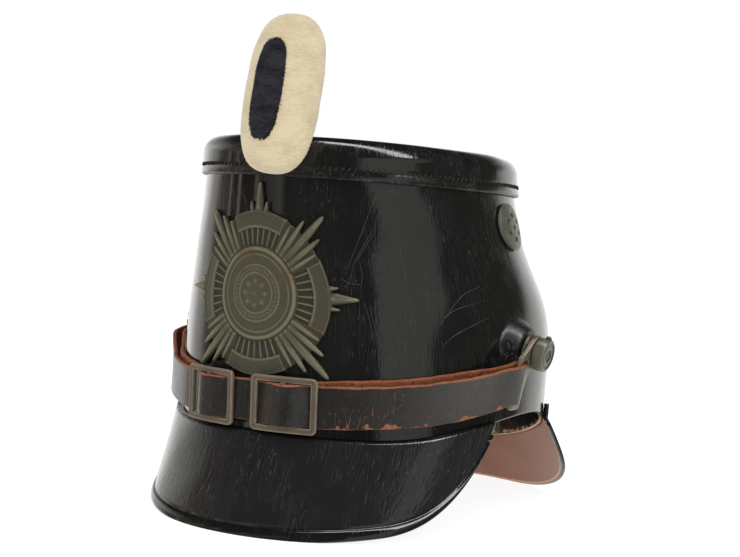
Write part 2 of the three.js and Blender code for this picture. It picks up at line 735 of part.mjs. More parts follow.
// The stirrup: a ring round the post's neck, a bar in front of it, and arms above and below.
function strapLoop(side) {
  const towardsFront = -side;
  const { x, top, bottom } = LOOP_BAR;
  const barInside = x - LOOP_BAR_WIDTH / 2;
  const ringPoint = (degrees, radius) => new THREE.Vector2(
    radius * Math.cos(degToRad(degrees)),
    radius * Math.sin(degToRad(degrees)),
  );
  const endPoint = (y, degrees) => ringPoint(degrees, LOOP_END_RADIUS).add(new THREE.Vector2(x, y));
  const outline = [
    ...LOOP_ARCS.ring.map((degrees) => ringPoint(degrees, LOOP_RING_RADIUS)),
    ...LOOP_ARM.map((point) => new THREE.Vector2(point.x, point.y)),
    ...LOOP_ARCS.barFoot.map((degrees) => endPoint(bottom, degrees)),
    ...LOOP_ARCS.barHead.map((degrees) => endPoint(top, degrees)),
  ];
  const slot = [
    new THREE.Vector2(barInside, top - LOOP_SLOT_END),
    new THREE.Vector2(barInside, bottom + LOOP_SLOT_END),
    new THREE.Vector2(barInside - LOOP_SLOT_WIDTH, bottom + LOOP_SLOT_END),
    new THREE.Vector2(barInside - LOOP_SLOT_WIDTH, LOOP_SLOT_BEND),
    ...LOOP_ARCS.slot.map((degrees) => ringPoint(degrees, LOOP_RING_RADIUS)),
  ];
  const hole = circlePath(0, 0, LOOP_HOLE_RADIUS, LOOP_HOLE_SIDES);
  const mirror = (points) => {
    const mirrored = points.map((point) => new THREE.Vector2(towardsFront * point.x, point.y));
    return towardsFront < 0 ? mirrored.reverse() : mirrored;
  };
  const plate = flatPlate(mirror(outline), [mirror(slot), mirror(hole)], LOOP_THICKNESS);
  return plate.translate(0, 0, LOOP_SEAT).applyMatrix4(postPlace(side));
}

function roundedRectangle(width, height, corner, steps) {
  const points = [];
  const corners = [[1, 1, 0], [-1, 1, 90], [-1, -1, 180], [1, -1, 270]];
  for (const [signX, signY, start] of corners) {
    const [x, y] = [signX * (width / 2 - corner), signY * (height / 2 - corner)];
    for (const turn of [0, 45, 90]) {
      const angle = degToRad(start + turn);
      points.push(new THREE.Vector2(x + corner * Math.cos(angle), y + corner * Math.sin(angle)));
    }
  }
  return points.flatMap((point, i) => {
    const next = points[(i + 1) % points.length];
    const cuts = point.distanceTo(next) > 2 * corner ? steps : 1;
    return Array.from({ length: cuts }, (_, k) => point.clone().lerp(next, k / cuts));
  });
}

function buckle(name) {
  const side = SIDES[name];
  const { width, height, bar, middleBar, thickness, lift } = BUCKLE;
  const outline = roundedRectangle(width, height, BUCKLE_CORNERS.outside, BUCKLE_STEPS.outside);
  const windowWidth = (width - 2 * bar - middleBar) / 2;
  const windowMiddle = (windowWidth + middleBar) / 2;
  const window = roundedRectangle(windowWidth, height - 2 * bar, BUCKLE_CORNERS.window, BUCKLE_STEPS.window);
  const holes = [-windowMiddle, windowMiddle].map((middle) =>
    window.map(({ x, y }) => new THREE.Vector2(x + middle, y)));
  const frame = flatPlate(outline, holes, thickness).translate(0, 0, lift);
  return wrapOnCrown(frame, side * BUCKLE_AZIMUTHS[name], BUCKLE_HEIGHT);
}

// Route of one half of the strap from the middle of the front round the side loop and back to
// its buckle, as points with the direction across the strap at each
function strapHalf(name) {
  const side = SIDES[name];
  const barPlace = postPlace(side);
  const barAcross = new THREE.Vector3().setFromMatrixColumn(barPlace, 1);
  const barY = (LOOP_BAR.top + LOOP_BAR.bottom) / 2;
  const bar = new THREE.Vector3(-side * LOOP_BAR.x, barY, LOOP_SEAT + LOOP_THICKNESS / 2);
  bar.applyMatrix4(barPlace);
  const route = [];
  const addRow = ({ azimuth, height, lift, turn }) => {
    const across = UP.clone().lerp(barAcross, turn).normalize();
    route.push({ point: crownPoint(side * azimuth, height, lift), across });
  };
  const besideBuckle = ({ along, lift }, height) => {
    const azimuth = BUCKLE_AZIMUTHS[name] + along / crownSection(height).side;
    addRow({ azimuth, height, lift, turn: 0 });
  };
  STRAP_WEAVE.forEach((row) => besideBuckle(row, BUCKLE_HEIGHT));
  STRAP_OUTER.forEach((row) => addRow({ ...row, azimuth: degToRad(row.azimuth) }));
  const outwards = new THREE.Vector3().setFromMatrixColumn(barPlace, 2);
  const backwards = new THREE.Vector3().setFromMatrixColumn(barPlace, 0).multiplyScalar(side);
  const foldRadius = LOOP_BAR_WIDTH / 2 + STRAP_FOLD_SLACK + STRAP_THICKNESS / 2;
  for (let i = 0; i <= STRAP_FOLD_STEPS; i += 1) {
    const turn = (Math.PI * i) / STRAP_FOLD_STEPS;
    const point = bar.clone()
      .addScaledVector(outwards, foldRadius * Math.cos(turn))
      .addScaledVector(backwards, foldRadius * Math.sin(turn));
    route.push({ point, across: barAcross.clone() });
  }
  STRAP_INNER.forEach((row) => addRow({ ...row, azimuth: degToRad(row.azimuth) }));
  besideBuckle(STRAP_END, BUCKLE_HEIGHT);
  return route;
}

function chinStrap() {
  const { azimuth, height, lift } = STRAP_FRONT;
  const front = { point: crownPoint(azimuth, height, lift), across: UP.clone() };
  const route = [...strapHalf('right').reverse(), front, ...strapHalf('left')];
  const middle = new THREE.CatmullRomCurve3(route.map(({ point }) => point), false, 'centripetal');
  const across = new THREE.CatmullRomCurve3(route.map((row) => row.across));
  const sections = [];
  for (let i = 0; i <= STRAP_SAMPLES; i += 1) {
    const t = i / STRAP_SAMPLES;
    const wide = across.getPoint(t).normalize().multiplyScalar(STRAP_WIDTH / 2);
    const thick = middle.getTangent(t).cross(wide).normalize().multiplyScalar(STRAP_THICKNESS / 2);
    const corner = (w, h) => middle.getPoint(t).addScaledVector(wide, w).addScaledVector(thick, h);
    sections.push([corner(1, 1), corner(-1, 1), corner(-1, -1), corner(1, -1)]);
  }
  return closedLoft(sections, { ladders: true });
}

const prongHole = prongRod(PRONG_RADIUS + GAP);
addPiece('crown_body', pierce(crownBody(), [ventPort(1), ventPort(-1), prongHole]), lacquer);
addPiece('crown_top', pierce(crownTop(), [prongHole]), lacquer);
addPiece('front_peak', frontPeak(), lacquer);
addPiece('neck_guard', neckGuard(), guardLeather);
addPiece('front_plate', frontPlate(), plateMetal);
addPiece('field_badge_wool', pierce(badgeWool(), [prongHole]), creamWool);
addPiece('field_badge_center', badgeCentre(), navyWool);
addPiece('field_badge_prong', prongRod(PRONG_RADIUS), steel);
for (const [name, side] of Object.entries(SIDES)) {
  addPiece(`vent_${name}`, vent(side), nickel);
  addPiece(`side_post_${name}`, sidePost(side), nickel);
  addPiece(`strap_loop_${name}`, strapLoop(side), steel);
  addPiece(`buckle_${name}`, buckle(name), steel);
}
addPiece('chin_strap', chinStrap(), strapLeather);

// The origin is at the middle of the box that holds the hat, on the surface under it.
const box = new THREE.Box3().setFromObject(hat, true);
const middle = box.getCenter(new THREE.Vector3());
hat.position.set(-middle.x, -middle.y, REST_DEPTH);

export default hat;
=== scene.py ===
# Looks of a black lacquered leather shako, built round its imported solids.
# Lengths are in millimetres until a mesh is made. Heights are measured from the base line, where the
# crown's lower edge passes over the ears. Azimuths are measured from the front, positive towards the
# wearer's left, which is +X. The front is -Y.

import math

import bpy
import numpy as np
from mathutils import Matrix, Vector


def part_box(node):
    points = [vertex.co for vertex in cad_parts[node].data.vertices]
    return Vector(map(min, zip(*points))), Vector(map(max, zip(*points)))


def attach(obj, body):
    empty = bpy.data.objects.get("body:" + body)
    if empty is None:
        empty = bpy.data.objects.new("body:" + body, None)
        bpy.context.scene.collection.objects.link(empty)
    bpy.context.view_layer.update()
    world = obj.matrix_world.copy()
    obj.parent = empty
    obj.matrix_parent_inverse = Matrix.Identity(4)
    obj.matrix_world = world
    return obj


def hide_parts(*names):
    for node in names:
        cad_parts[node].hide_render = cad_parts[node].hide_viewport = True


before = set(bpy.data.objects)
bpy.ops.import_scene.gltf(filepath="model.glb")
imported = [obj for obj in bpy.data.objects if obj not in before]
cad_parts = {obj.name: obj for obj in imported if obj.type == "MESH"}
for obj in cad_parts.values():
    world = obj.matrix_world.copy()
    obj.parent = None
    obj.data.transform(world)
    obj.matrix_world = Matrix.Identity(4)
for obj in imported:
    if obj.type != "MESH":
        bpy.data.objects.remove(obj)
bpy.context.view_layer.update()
BODY = "root"
MM = 0.001
TAU = 2 * math.pi
SIDES = {"left": 1, "right": -1}
ODD_WAY = (0.31, 0.17, 0.93)  # a direction that no rod has


def table(names, *rows):
    """A short table as named columns."""
    return {name: np.array(column, float) for name, column in zip(names, zip(*rows))}


# Crown
CROWN_WALL = 2.2
CROWN_SECTIONS = table(
    ("height", "front", "back", "side"),
    (-30, 95, 94.5, 86.5),
    (0, 96, 96.5, 87),
    (15, 96.8, 98.5, 87),
    (30, 97.6, 101, 86.2),
    (45, 98.2, 100, 84.5),
    (55, 98.6, 95.5, 82),
    (65, 99, 88.5, 79),
    (75, 99.5, 80.5, 76.2),
    (88, 99.7, 75.5, 72.9),
    (104, 100, 72, 70.2),
    (126, 100.5, 69.5, 68.7),
)
EVENING = 9  # millimetres of height each way that the sections are evened over
LOWER_EDGE = table(
    ("azimuth", "height"),
    (0, -14),
    (46, -13.5),
    (64, -6.5),
    (80, -0.5),
    (102, 0),
    (120, -8),
    (140, -17.5),
    (160, -24.5),
    (180, -27),
)
CROWN_GRID = {"columns": 360, "outside": 130, "rim": 9, "inside": 40}
WORN_EDGE = (105, 125)  # degrees from the front over which the lower edge turns from whole to worn
WORN_RIM = {"rim": 0.85, "inside": 0.6, "share": 0.016}  # the share is of the crown's height, inside
STREAKS = {"right": (-38, -46), "left": (15, 25)}  # degrees over which the streaks beside the plate begin

# Deep scratches on the crown, as places (azimuth in degrees, height) along each
SCRATCH = {"width": 0.27, "height": 0.06}
SCRATCHES = (
    ((28.8, 63.5), (35.5, 82.5), (42.2, 102.8)),
    ((31, 66.5), (35.2, 76), (39.8, 85.5)),
    ((32.5, 69), (36.2, 76.5), (40.2, 84)),
    ((34, 70), (34.2, 64), (33.2, 58)),
    ((33.8, 52.5), (35, 44), (36, 34)),
    ((35.2, 51), (36.2, 42), (37.5, 35)),
    ((27.5, 62.5), (29.8, 60.5), (33.5, 60)),
    ((28.2, 58), (29.8, 60.5), (31, 64.5)),
    ((53.8, 40), (59.5, 50), (65.5, 57.2), (72.8, 61.2)),
    ((54.8, 42.8), (60, 49.5), (64.5, 51.8), (71, 54)),
    ((56, 34.2), (59.8, 38.8), (69.2, 45), (73.5, 47)),
)

# Side posts, the pressed bosses under them and the strap loops on them
POST_AZIMUTH = math.radians(84.4)
POST_HEIGHT = 32.2
POST_DROOP = math.radians(10)
POST_SWEEP = math.radians(8)
POST_FOOT = 6.3
BOSS_HEIGHT = 5.7
BOSS_TOP_RADIUS = 9.5
BOSS_RADIUS = 14
BOSS_SHIFT = 2.2
BOSS_ROUNDING = 0.2
GAP = 0.3
POST_PROFILE = table(
    ("radius", "out"),
    (0, 0),
    (8, 0),
    (8.3, 0.25),
    (8.3, 0.7),
    (8, 1.05),
    (7.4, 1.25),
    (7.2, 1.7),
    (5.2, 1.75),
    (5, 2),
    (5, 4.6),
    (5.3, 4.8),
    (7.1, 4.85),
    (7.6, 5.1),
    (7.7, 5.5),
    (7.7, 9.4),
    (7.55, 9.95),
    (7.1, 10.3),
    (6.5, 10.4),
    (6.0, 10.3),
    (5.7, 10.0),
    (5.3, 9.95),
    (4.9, 10.15),
    (3.4, 10.3),
    (3.0, 10.1),
    (2.6, 9.8),
    (1.4, 9.75),
    (1.0, 10.0),
    (0, 10.1),
)
POST_SEGMENTS = 72
POST_NOSE = {"radius": 1.5, "out": 8.6, "up": 7.7}
LOOP_THICKNESS = 2.2
LOOP_SEAT = 2.2
LOOP_HOLE_RADIUS = 5.4
LOOP_RING_RADIUS = 8
LOOP_BAR_WIDTH = 2.2
LOOP_BAR = {"x": 13.8, "top": -2.75, "bottom": -24.8}
LOOP_END_RADIUS = 1.9
LOOP_ARM = ((1.6, -8.3), (3.2, -9.4), (4.6, -11.2), (5.4, -13), (5.8, -15.5), (6.2, -25.4), (7.2, -26.6))
LOOP_SLOT_WIDTH = 4.2
LOOP_SLOT_END = 1
LOOP_SLOT_BEND = -12
LOOP_BEVEL = 0.55

# Crown top
TOP_WALL = 1.8
TOP_SKIRT = 18.4
TOP_EDGE = 103.6
TOP_SLOPE = 0.018
TOP_SHOULDER = 8
TOP_DOME = 1.6
TOP_LAP = 10
TOP_RIM = 0.9
TOP_WAVES = {"skirt": 0.1, "skirt_heights": (104, 110), "flat": 0.18, "flat_heights": (117, 121)}
HEM = {"rise": 1.9, "half_width": 1.6, "swell": 0.22}
STITCH = {"rise": 4.7, "pitch": 2.75, "length": 2.3, "thickness": 0.7, "proud": 0.12, "bow": 0.25}
STITCH_SLANT = (0.85, 1.05)
STITCH_GROOVE = {"depth": 0.2, "half_width": 0.9}
STITCH_SECTIONS = table(
    ("along", "size"),
    (-1, 0.15),
    (-0.85, 0.7),
    (-0.45, 1),
    (0.45, 1),
    (0.85, 0.7),
    (1, 0.15),
)

# Front peak
PEAK_WALL = 2.4
PEAK_UPPER_EDGE = table(("azimuth", "height"), (0, -8), (48, -7.5), (66, -2.5), (80, 0.5))
PEAK_EDGE = {"centre": -36, "front": 81, "side": 80.5, "spread": 1.15}
PEAK_CORNER = {"start": math.radians(45), "end": math.radians(75), "bulge": 2.3}
PEAK_END = math.radians(74.7)
PEAK_RISE = 0.1166
PEAK_EDGE_LEVEL = -38.8
PEAK_BEAD = {"height": 4.8, "out": 1.0, "groove": 0.35}
PEAK_ROUNDING = {"edge": 0.4, "seam": 0.5, "seam_width": 1.2}
PEAK_WAVES = {"height": 0.12, "start": 6, "end": 14}  # start and end are distances from the edge
PEAK_COLUMNS = 240
PEAK_ROWS = np.concatenate([np.linspace(0.02, 0.7, 26), np.linspace(0.72, 1, 34)])
PEAK_LINING_ROWS = 30

# Neck guard
GUARD_WALL = 2.4
GUARD_FLANGE = 7
GUARD_FLARE = 0.64
GUARD_HALF_SPAN = math.radians(67)
GUARD_EDGE = table(
    ("azimuth", "height"),
    (0, -52.2),
    (16, -52),
    (28, -50.3),
    (38, -45.5),
    (47, -38.5),
    (55, -29.5),
    (61, -19),
    (67, -8),
)
GUARD_COLUMNS = 220
GUARD_ROWS = 30
GUARD_ROUNDING = 0.8  # height of the rounded edge, as a share of half the wall
GUARD_WAVES = 0.15

# Front plate
PLATE_HEIGHT = 53.2
PLATE_AZIMUTH = math.radians(0.7)
PLATE_STANDOFF = 0.5
PLATE_DISC = 37
PLATE_WIDTH_SHARE = 0.92
PLATE_RING = 20
PLATE_GRID = {"columns": 1080, "inner": 66, "outer": 18}
PLATE_BACK_SHARES = np.array([1, 0.97, 0.7, 0.4, 0.1, 0.004])
PLATE_EVEN = 34  # radius up to which the grid's rings are round
PLATE_REACH = 52  # no ray reaches further
PLATE_FACE = {"outside": 1.25, "swell": 0.35, "middle": 2.0}
PLATE_RIM = {"width": 0.5, "height": 0.9, "share": 0.75}  # share of the way down to that height
RUBBED = {"high": 0.45, "heights": (0.7, 3.2), "proud": 0.6, "over_mean": (0.03, 0.28)}

# Rays of the plate as (angle in degrees, reach, half width), mirrored into every quadrant
CROSS_RAYS = ((0, 49.5, 3.3), (6.8, 41, 1.6))
BUNDLE_RAYS = ((45, 50.5, 2.15), (37.6, 42, 1.8), (31.2, 36.6, 1.5))
BUNDLE_TIP = 11
RAY_STARTS = {"cross": (35.5, 37.5), "bundle": (20, 22)}
RAY_BACK = {"edge": 0.75, "rise": 1.75}

# Fans between the bundles, in degrees, and the rings of flutes and bare bands in them, as radii
FAN_EDGE = (26.6, 25.2)
FAN_RING = {"start": (21, 22), "end": (29.2, 28.6)}
FLUTE = {"degrees": 7.3, "width": 0.17, "rise": 1.1, "depth": 0.5}
BAND_RING = {"start": (28.8, 29.4), "end": (37.2, 36.9)}
BAND_RISE = 0.55

# Lines and ridges round the plate as (radius, half width, height), its wreath and its rosette
BAND_LINES = ((29.5, 0.4, 0.3), (36.3, 0.5, 0.35))
MIDDLE_LINES = ((17.3, 0.4, 0.35), (0, 1.5, 0.8))
MIDDLE_RIDGES = ((PLATE_RING, 0.95, 1.1), (12.6, 0.6, 0.5), (9, 0.6, 0.55))
WREATH = {"radius": 10.8, "half_width": 1, "leaves": 16, "slant": 1.2, "low": 0.15, "rise": 0.4}
ROSETTE = {"edge": (8.4, 7.6), "low": 0.1}
PETALS = {"lobes": 4, "radius": 4.4, "spread": 1.2, "half_width": 1.6, "low": 0.2, "rise": 0.8}

# Field badge
BADGE = {"height": 70, "width": 36, "depth": 25.5}
BADGE_BULGE = 2.9
BADGE_LEAN = math.radians(10.5)
BADGE_SIDE_STEP = 16
BADGE_FOOT = 106.2
BADGE_FRONT = 116.5
BADGE_GRID = {"rows": 300, "columns": 150}
THREAD = {"pitch": 1.6, "depth": 0.24}
CENTRE_OVAL = {"height": 44, "width": 15, "depth": 1.2, "rise": -0.9}
CENTRE_COLUMNS = 260
CENTRE_RAGGED = 0.012
CENTRE_PILE = 0.16
CENTRE_FIBRES = 520
CENTRE_EDGE = table(
    ("share", "out"),
    (0.87, 0.96),
    (0.92, 0.87),
    (0.96, 0.72),
    (0.985, 0.45),
    (1, 0.1),
    (0.99, -0.1),
    (0.9, -0.15),
    (0.6, -0.15),
    (0.02, -0.15),
)
FIBRE = {
    "thickness": 0.13,
    "sizes": np.array([1, 1, 0.7, 0.15]),
    "lifts": np.array([0.9, 0.75, 0.45, 0.15]),
}
PRONG_HEIGHT = 115
PRONG_BACK = 92

# Vents
VENT = {"azimuth": math.radians(99.5), "height": 88.7, "radius": 11, "thickness": 1.5, "dome": 1.1}
VENT_HOLES = {"count": 6, "circle": 5.6, "radius": 1.35, "start": math.radians(30), "reach": (-3, 6)}
VENT_STANDOFF = 0.8
VENT_PORT = {"radius": 8.5, "reach": 6.6}
VENT_SHARES = np.array([0.02, 0.2, 0.4, 0.6, 0.78, 0.9, 0.96, 0.99, 1])
VENT_ROUNDING = {"drop": 0.5, "start": 0.92}

# Slide buckles
BUCKLE = {"width": 29, "height": 25, "corner": 2.4, "thickness": 1.8, "lift": 5.4}
BUCKLE_BARS = {"frame": 2.8, "middle": 2.6}
BUCKLE_HEIGHT = 5.4
BUCKLE_AZIMUTHS = {"left": math.radians(11.4), "right": math.radians(14)}

# Section of a buckle's frame: distance out from its middle line and up from its back, in shares
BUCKLE_SECTION = table(
    ("out", "up"),
    (-0.94, 0.0),
    (0.94, 0.0),
    (1.0, 0.08),
    (1.0, 0.75),
    (0.9, 0.95),
    (0.7, 1.0),
    (0.2, 0.9),
    (-0.5, 0.86),
    (-0.8, 0.88),
    (-0.94, 0.75),
    (-1.0, 0.6),
    (-1.0, 0.08),
)

# Chin strap
STRAP_WIDTH = 19
STRAP_THICKNESS = 1.8
STRAP_SAMPLES = 760
STRAP_EDGE_RADIUS = 0.5
STRAP_NICKED = (7.5, 9.3)  # distances from its middle line over which its edges become uneven
STRAP_FOLD_STEPS = 5
STRAP_FOLD_SLACK = 0.5
STRAP_FRONT = {"height": 5.4, "lift": 1.5}
STRAP_WEAVE = table(
    ("along", "lift"),
    (-19, 1.7),
    (-14.5, 3.2),
    (-11.4, 3.9),
    (-2.2, 8.7),
    (2.2, 8.7),
    (11.4, 3.9),
    (14.5, 3.8),
)
STRAP_OUTER = table(
    ("azimuth", "height", "lift", "turn", "wear"),
    (30, 5.9, 4, 0, 0.9),
    (45, 7.6, 4.4, 0, 0.8),
    (56, 9.8, 5.6, 0, 0.4),
    (64.5, 12.8, 8.6, 0.6, 0.1),
    (71, 16.1, 11.6, 1, 0.1),
)
STRAP_INNER = table(
    ("azimuth", "height", "lift", "turn"),
    (71, 16.7, 6.7, 1),
    (64.5, 14.8, 3.9, 0.6),
    (56, 12.2, 1.9, 0),
    (45, 10, 1.5, 0),
    (30, 8.2, 1.5, 0),
    (20, 7, 1.5, 0),
)
STRAP_END = {"along": 1, "lift": 3.9}
STRAP_SHEEN = {"start": 70, "end": 115}  # from the middle of the front, along the strap: over these the black is painted lighter, a painted reflection

# Camera, at the photograph's angle to the hat
IMAGE_WIDTH = 740
FOCAL_PIXELS = 1552.9
SENSOR = 36
CAMERA_PLACE = (400.1, -662.3, 95.3)
CAMERA_AZIMUTH = math.radians(31.23)
CAMERA_ELEVATION = math.radians(2.72)
CAMERA_ROLL = math.radians(3.48)

# What the lacquer mirrors, by azimuth from the front in degrees
STUDIO = table(
    ("azimuth", "red", "green", "blue"),
    (-180, 1.41, 1.41, 1.38),
    (-172, 1.31, 1.31, 1.29),
    (-160, 1.08, 1.08, 1.06),
    (-146, 0.96, 0.96, 0.95),
    (-128, 1.5, 1.5, 1.47),
    (-118, 1.55, 1.55, 1.5),
    (-106, 1.02, 1.0, 0.94),
    (-97, 0.92, 0.9, 0.82),
    (-92, 0.5, 0.46, 0.41),
    (-88, 0.31, 0.21, 0.16),
    (-75, 0.3, 0.17, 0.1),
    (-74.4, 1.2, 1.15, 1.05),
    (-72.6, 1.2, 1.15, 1.05),
    (-72, 0.19, 0.14, 0.11),
    (-63.6, 0.02, 0.02, 0.02),
    (-63, 1.5, 1.35, 1.2),
    (-59.8, 1.5, 1.35, 1.2),
    (-59, 0.08, 0.06, 0.05),
    (-43.6, 0.08, 0.07, 0.06),
    (-42.6, 1.0, 0.98, 0.76),
    (-40, 1.0, 0.98, 0.76),
    (-36, 0.17, 0.15, 0.13),
    (-15, 0.68, 0.65, 0.59),
    (-11, 0.1, 0.1, 0.09),
    (50, 0.03, 0.03, 0.03),
    (52.5, 0.8, 0.8, 0.75),
    (82, 0.7, 0.7, 0.66),
    (85.5, 0.1, 0.1, 0.09),
    (132, 0.07, 0.07, 0.05),
    (145, 0.14, 0.14, 0.13),
    (153, 0.9, 0.9, 0.87),
    (161, 1.3, 1.3, 1.26),
)
STUDIO_PEAK = 1.55  # the brightest of them
STUDIO_LEAN = {"degrees": 90, "up_to": 0.25}  # towards the back, for each unit of height
STUDIO_FADE = {"start": 0.16, "end": 0.5}  # heights between which the lamps give way to the ceiling
STUDIO_CEILING = 0.01
STUDIO_SOFT = 0.82
STRIP_LAMP = {"y": -0.06, "half": 0.11, "low": 0.42, "x": -0.15, "strength": 11.0}
KEY_LIGHT = {"place": (0.75, -1.0, 1.3), "size": 1.2, "energy": 9.0}
FLOOR = {"half": 30.0, "drop": 0.0002, "grey": 0.3, "glow": 0.9}

# The hat's own frame lies in the model's frame where the prong says.
prong_low, prong_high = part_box("field_badge_prong")
HAT_PLACE = np.array([
    0,
    prong_high.y / MM + PRONG_BACK,
    (prong_low.z + prong_high.z) / 2 / MM - PRONG_HEIGHT,
])
REST_DEPTH = HAT_PLACE[2]


# Curves and surfaces

def curve(columns, key, column, position):
    """Smooth curve through a table's column, as the solids have it."""
    t, v = columns[key], columns[column]
    x = np.clip(np.asarray(position, float), t[0], t[-1])
    i = np.clip(np.searchsorted(t, x, side="right"), 1, len(t) - 1)
    before, after = i - 2, i + 1
    first, last = before < 0, after >= len(t)
    t0, t1 = t[i - 1], t[i]
    half = (t1 - t0) / 2
    t_before = np.where(first, t1, t[np.maximum(before, 0)])
    t_after = np.where(last, t0, t[np.minimum(after, len(t) - 1)])
    v_before = np.where(first, v[i], v[np.maximum(before, 0)])
    v_after = np.where(last, v[i - 1], v[np.minimum(after, len(t) - 1)])
    w_before = half / (t0 - t_before)
    w_after = half / (t_after - t1)
    p = (x - t0) / (t1 - t0)
    s_before = -w_before * p**3 + 2 * w_before * p**2 - w_before * p
    s_0 = (1 + w_before) * p**3 + (-1.5 - 2 * w_before) * p**2 + (-0.5 + w_before) * p + 1
    s_1 = (-1 - w_after) * p**3 + (1.5 + w_after) * p**2 + 0.5 * p
    s_after = w_after * p**3 - w_after * p**2
    return s_before * v_before + s_0 * v[i - 1] + s_1 * v[i] + s_after * v_after


def smoothstep(x, low, high):
    t = np.clip((x - low) / (high - low), 0, 1)
    return t * t * (3 - 2 * t)


def bump(x, middle, half_width):
    """A smooth hump of height 1."""
    return np.exp(-(((x - middle) / half_width) ** 2))


def crown_section(height):
    """Distances to the front, the back and the sides, evened out over a few millimetres of height"""
    near = np.asarray(height, float)[..., None] + np.linspace(-EVENING, EVENING, 9)
    names = ("front", "back", "side")
    return [curve(CROWN_SECTIONS, "height", name, near).mean(axis=-1) for name in names]


def crown_normal(azimuth, height):
    front, back, side = crown_section(height)
    x, y = (front + back) * np.sin(azimuth), -2 * side * np.cos(azimuth)
    length = np.hypot(x, y)
    return np.stack([x / length, y / length, np.zeros_like(length)], -1)


def crown_point(azimuth, height, out):
    """A point at a distance out from the crown's plain surface"""
    azimuth, height, out = np.broadcast_arrays(*(np.asarray(a, float) for a in (azimuth, height, out)))
    front, back, side = crown_section(height)
    y = (back - front) / 2 - (front + back) / 2 * np.cos(azimuth)
    plain = np.stack([side * np.sin(azimuth), y, height], -1)
    return plain + crown_normal(azimuth, height) * out[..., None]


def from_front(azimuth):
    """Azimuth as a turn to the left or, below 0, to the right of the front"""
    return np.arctan2(np.sin(azimuth), np.cos(azimuth))


def off_front(azimuth):
    return np.abs(from_front(azimuth))


def lower_edge(azimuth):
    return curve(LOWER_EDGE, "azimuth", "height", np.degrees(off_front(azimuth)))


def down_flank(distance, start, end, rounding):
    """How far down a straight flank with rounded ends a place lies, from 0 to 1"""
    t = np.clip((distance - start) / (end - start), 0, 1)
    near = np.minimum(t, 1 - t)
    share = np.where(near < rounding, near**2 / (2 * rounding), near - rounding / 2) / (1 - rounding)
    return np.where(t < 0.5, share, 1 - share)


def from_post(azimuth, height):
    """Distances along the crown and up it from the nearer post"""
    return (off_front(azimuth) - POST_AZIMUTH) * crown_section(height)[2], height - POST_HEIGHT


def from_boss(azimuth, height):
    along, rise = from_post(azimuth, height)
    return np.hypot(along - BOSS_SHIFT, rise)


def boss_lift(azimuth, height):
    """How far the pressed boss round a post lifts the leather"""
    along, rise = from_post(azimuth, height)
    fade = 1 - down_flank(from_boss(azimuth, height), BOSS_TOP_RADIUS, BOSS_RADIUS, BOSS_ROUNDING)
    return (BOSS_HEIGHT + rise * math.tan(POST_DROOP) - along * math.tan(POST_SWEEP)) * fade


def top_edge(azimuth):
    return TOP_EDGE - TOP_SLOPE * crown_point(azimuth, TOP_EDGE, 0)[..., 1]


def crown_unevenness(points):
    return 0.03 * ripple(points, seed=3, wavelength=34) + 0.005 * ripple(points, seed=4, wavelength=11)


def around(count):
    return np.arange(count) * TAU / count


def unit(vectors):
    return vectors / np.linalg.norm(vectors, axis=-1, keepdims=True)


def lengths_along(line):
    """Length of a line from its start to each of its points"""
    return np.concatenate([[0], np.cumsum(np.linalg.norm(np.diff(line, axis=0), axis=1))])


def wrap_on_crown(points, azimuth, height):
    """Lays a flat piece, x along the crown, y up and z outwards, round the crown at one place."""
    side = crown_section(np.array(float(height)))[2]
    return crown_point(azimuth + points[..., 0] / side, height + points[..., 1], points[..., 2])


def ripple(points, seed, wavelength, count=7):
    """Smooth uneven waves of about unit size, the same each run"""
    draw = np.random.default_rng(seed)
    total = np.zeros(points.shape[:-1])
    for _ in range(count):
        way = draw.normal(size=3)
        way *= TAU / (wavelength * draw.uniform(0.7, 1.6)) / np.linalg.norm(way)
        total += np.sin(points @ way + draw.uniform(0, TAU))
    return total / math.sqrt(count)


def down_piece(azimuth, down):
    """Place along a leather piece and down it, for the marks that run down it"""
    along = crown_section(0.0)[2] * from_front(azimuth)
    return np.stack([along, down, 0 * down], -1).reshape(-1, 3)


# Mesh making

def make_mesh(name, points, faces, material, attributes=None, smooth=True):
    """An object from points in the hat's frame. Faces are lists of corners."""
    mesh = bpy.data.meshes.new(name)
    placed = (np.asarray(points, float).reshape(-1, 3) + HAT_PLACE) * MM
    mesh.from_pydata(placed.tolist(), [], faces)
    for key, values in (attributes or {}).items():
        values = np.asarray(values, np.float32)
        kind = "FLOAT_VECTOR" if values.ndim > 1 and values.shape[-1] == 3 else "FLOAT"
        layer = mesh.attributes.new(key, kind, "POINT")
        layer.data.foreach_set("vector" if kind == "FLOAT_VECTOR" else "value", values.ravel())
    mesh.materials.append(material)
    mesh.polygons.foreach_set("use_smooth", [smooth] * len(mesh.polygons))
    obj = bpy.data.objects.new(name, mesh)
    bpy.context.scene.collection.objects.link(obj)
    face_outwards(obj)
    return obj


def face_outwards(obj):
    """Turns a closed mesh's faces over if they enclose a negative volume."""
    mesh = obj.data
    mesh.calc_loop_triangles()
    count = len(mesh.loop_triangles)
    corners = np.zeros(count * 3, np.int32)
    mesh.loop_triangles.foreach_get("vertices", corners)
    points = np.zeros(len(mesh.vertices) * 3)
    mesh.vertices.foreach_get("co", points)
    a, b, c = np.moveaxis(points.reshape(-1, 3)[corners.reshape(-1, 3)], 1, 0)
    if np.einsum("ij,ij->i", a, np.cross(b, c)).sum() < 0:
        mesh.flip_normals()


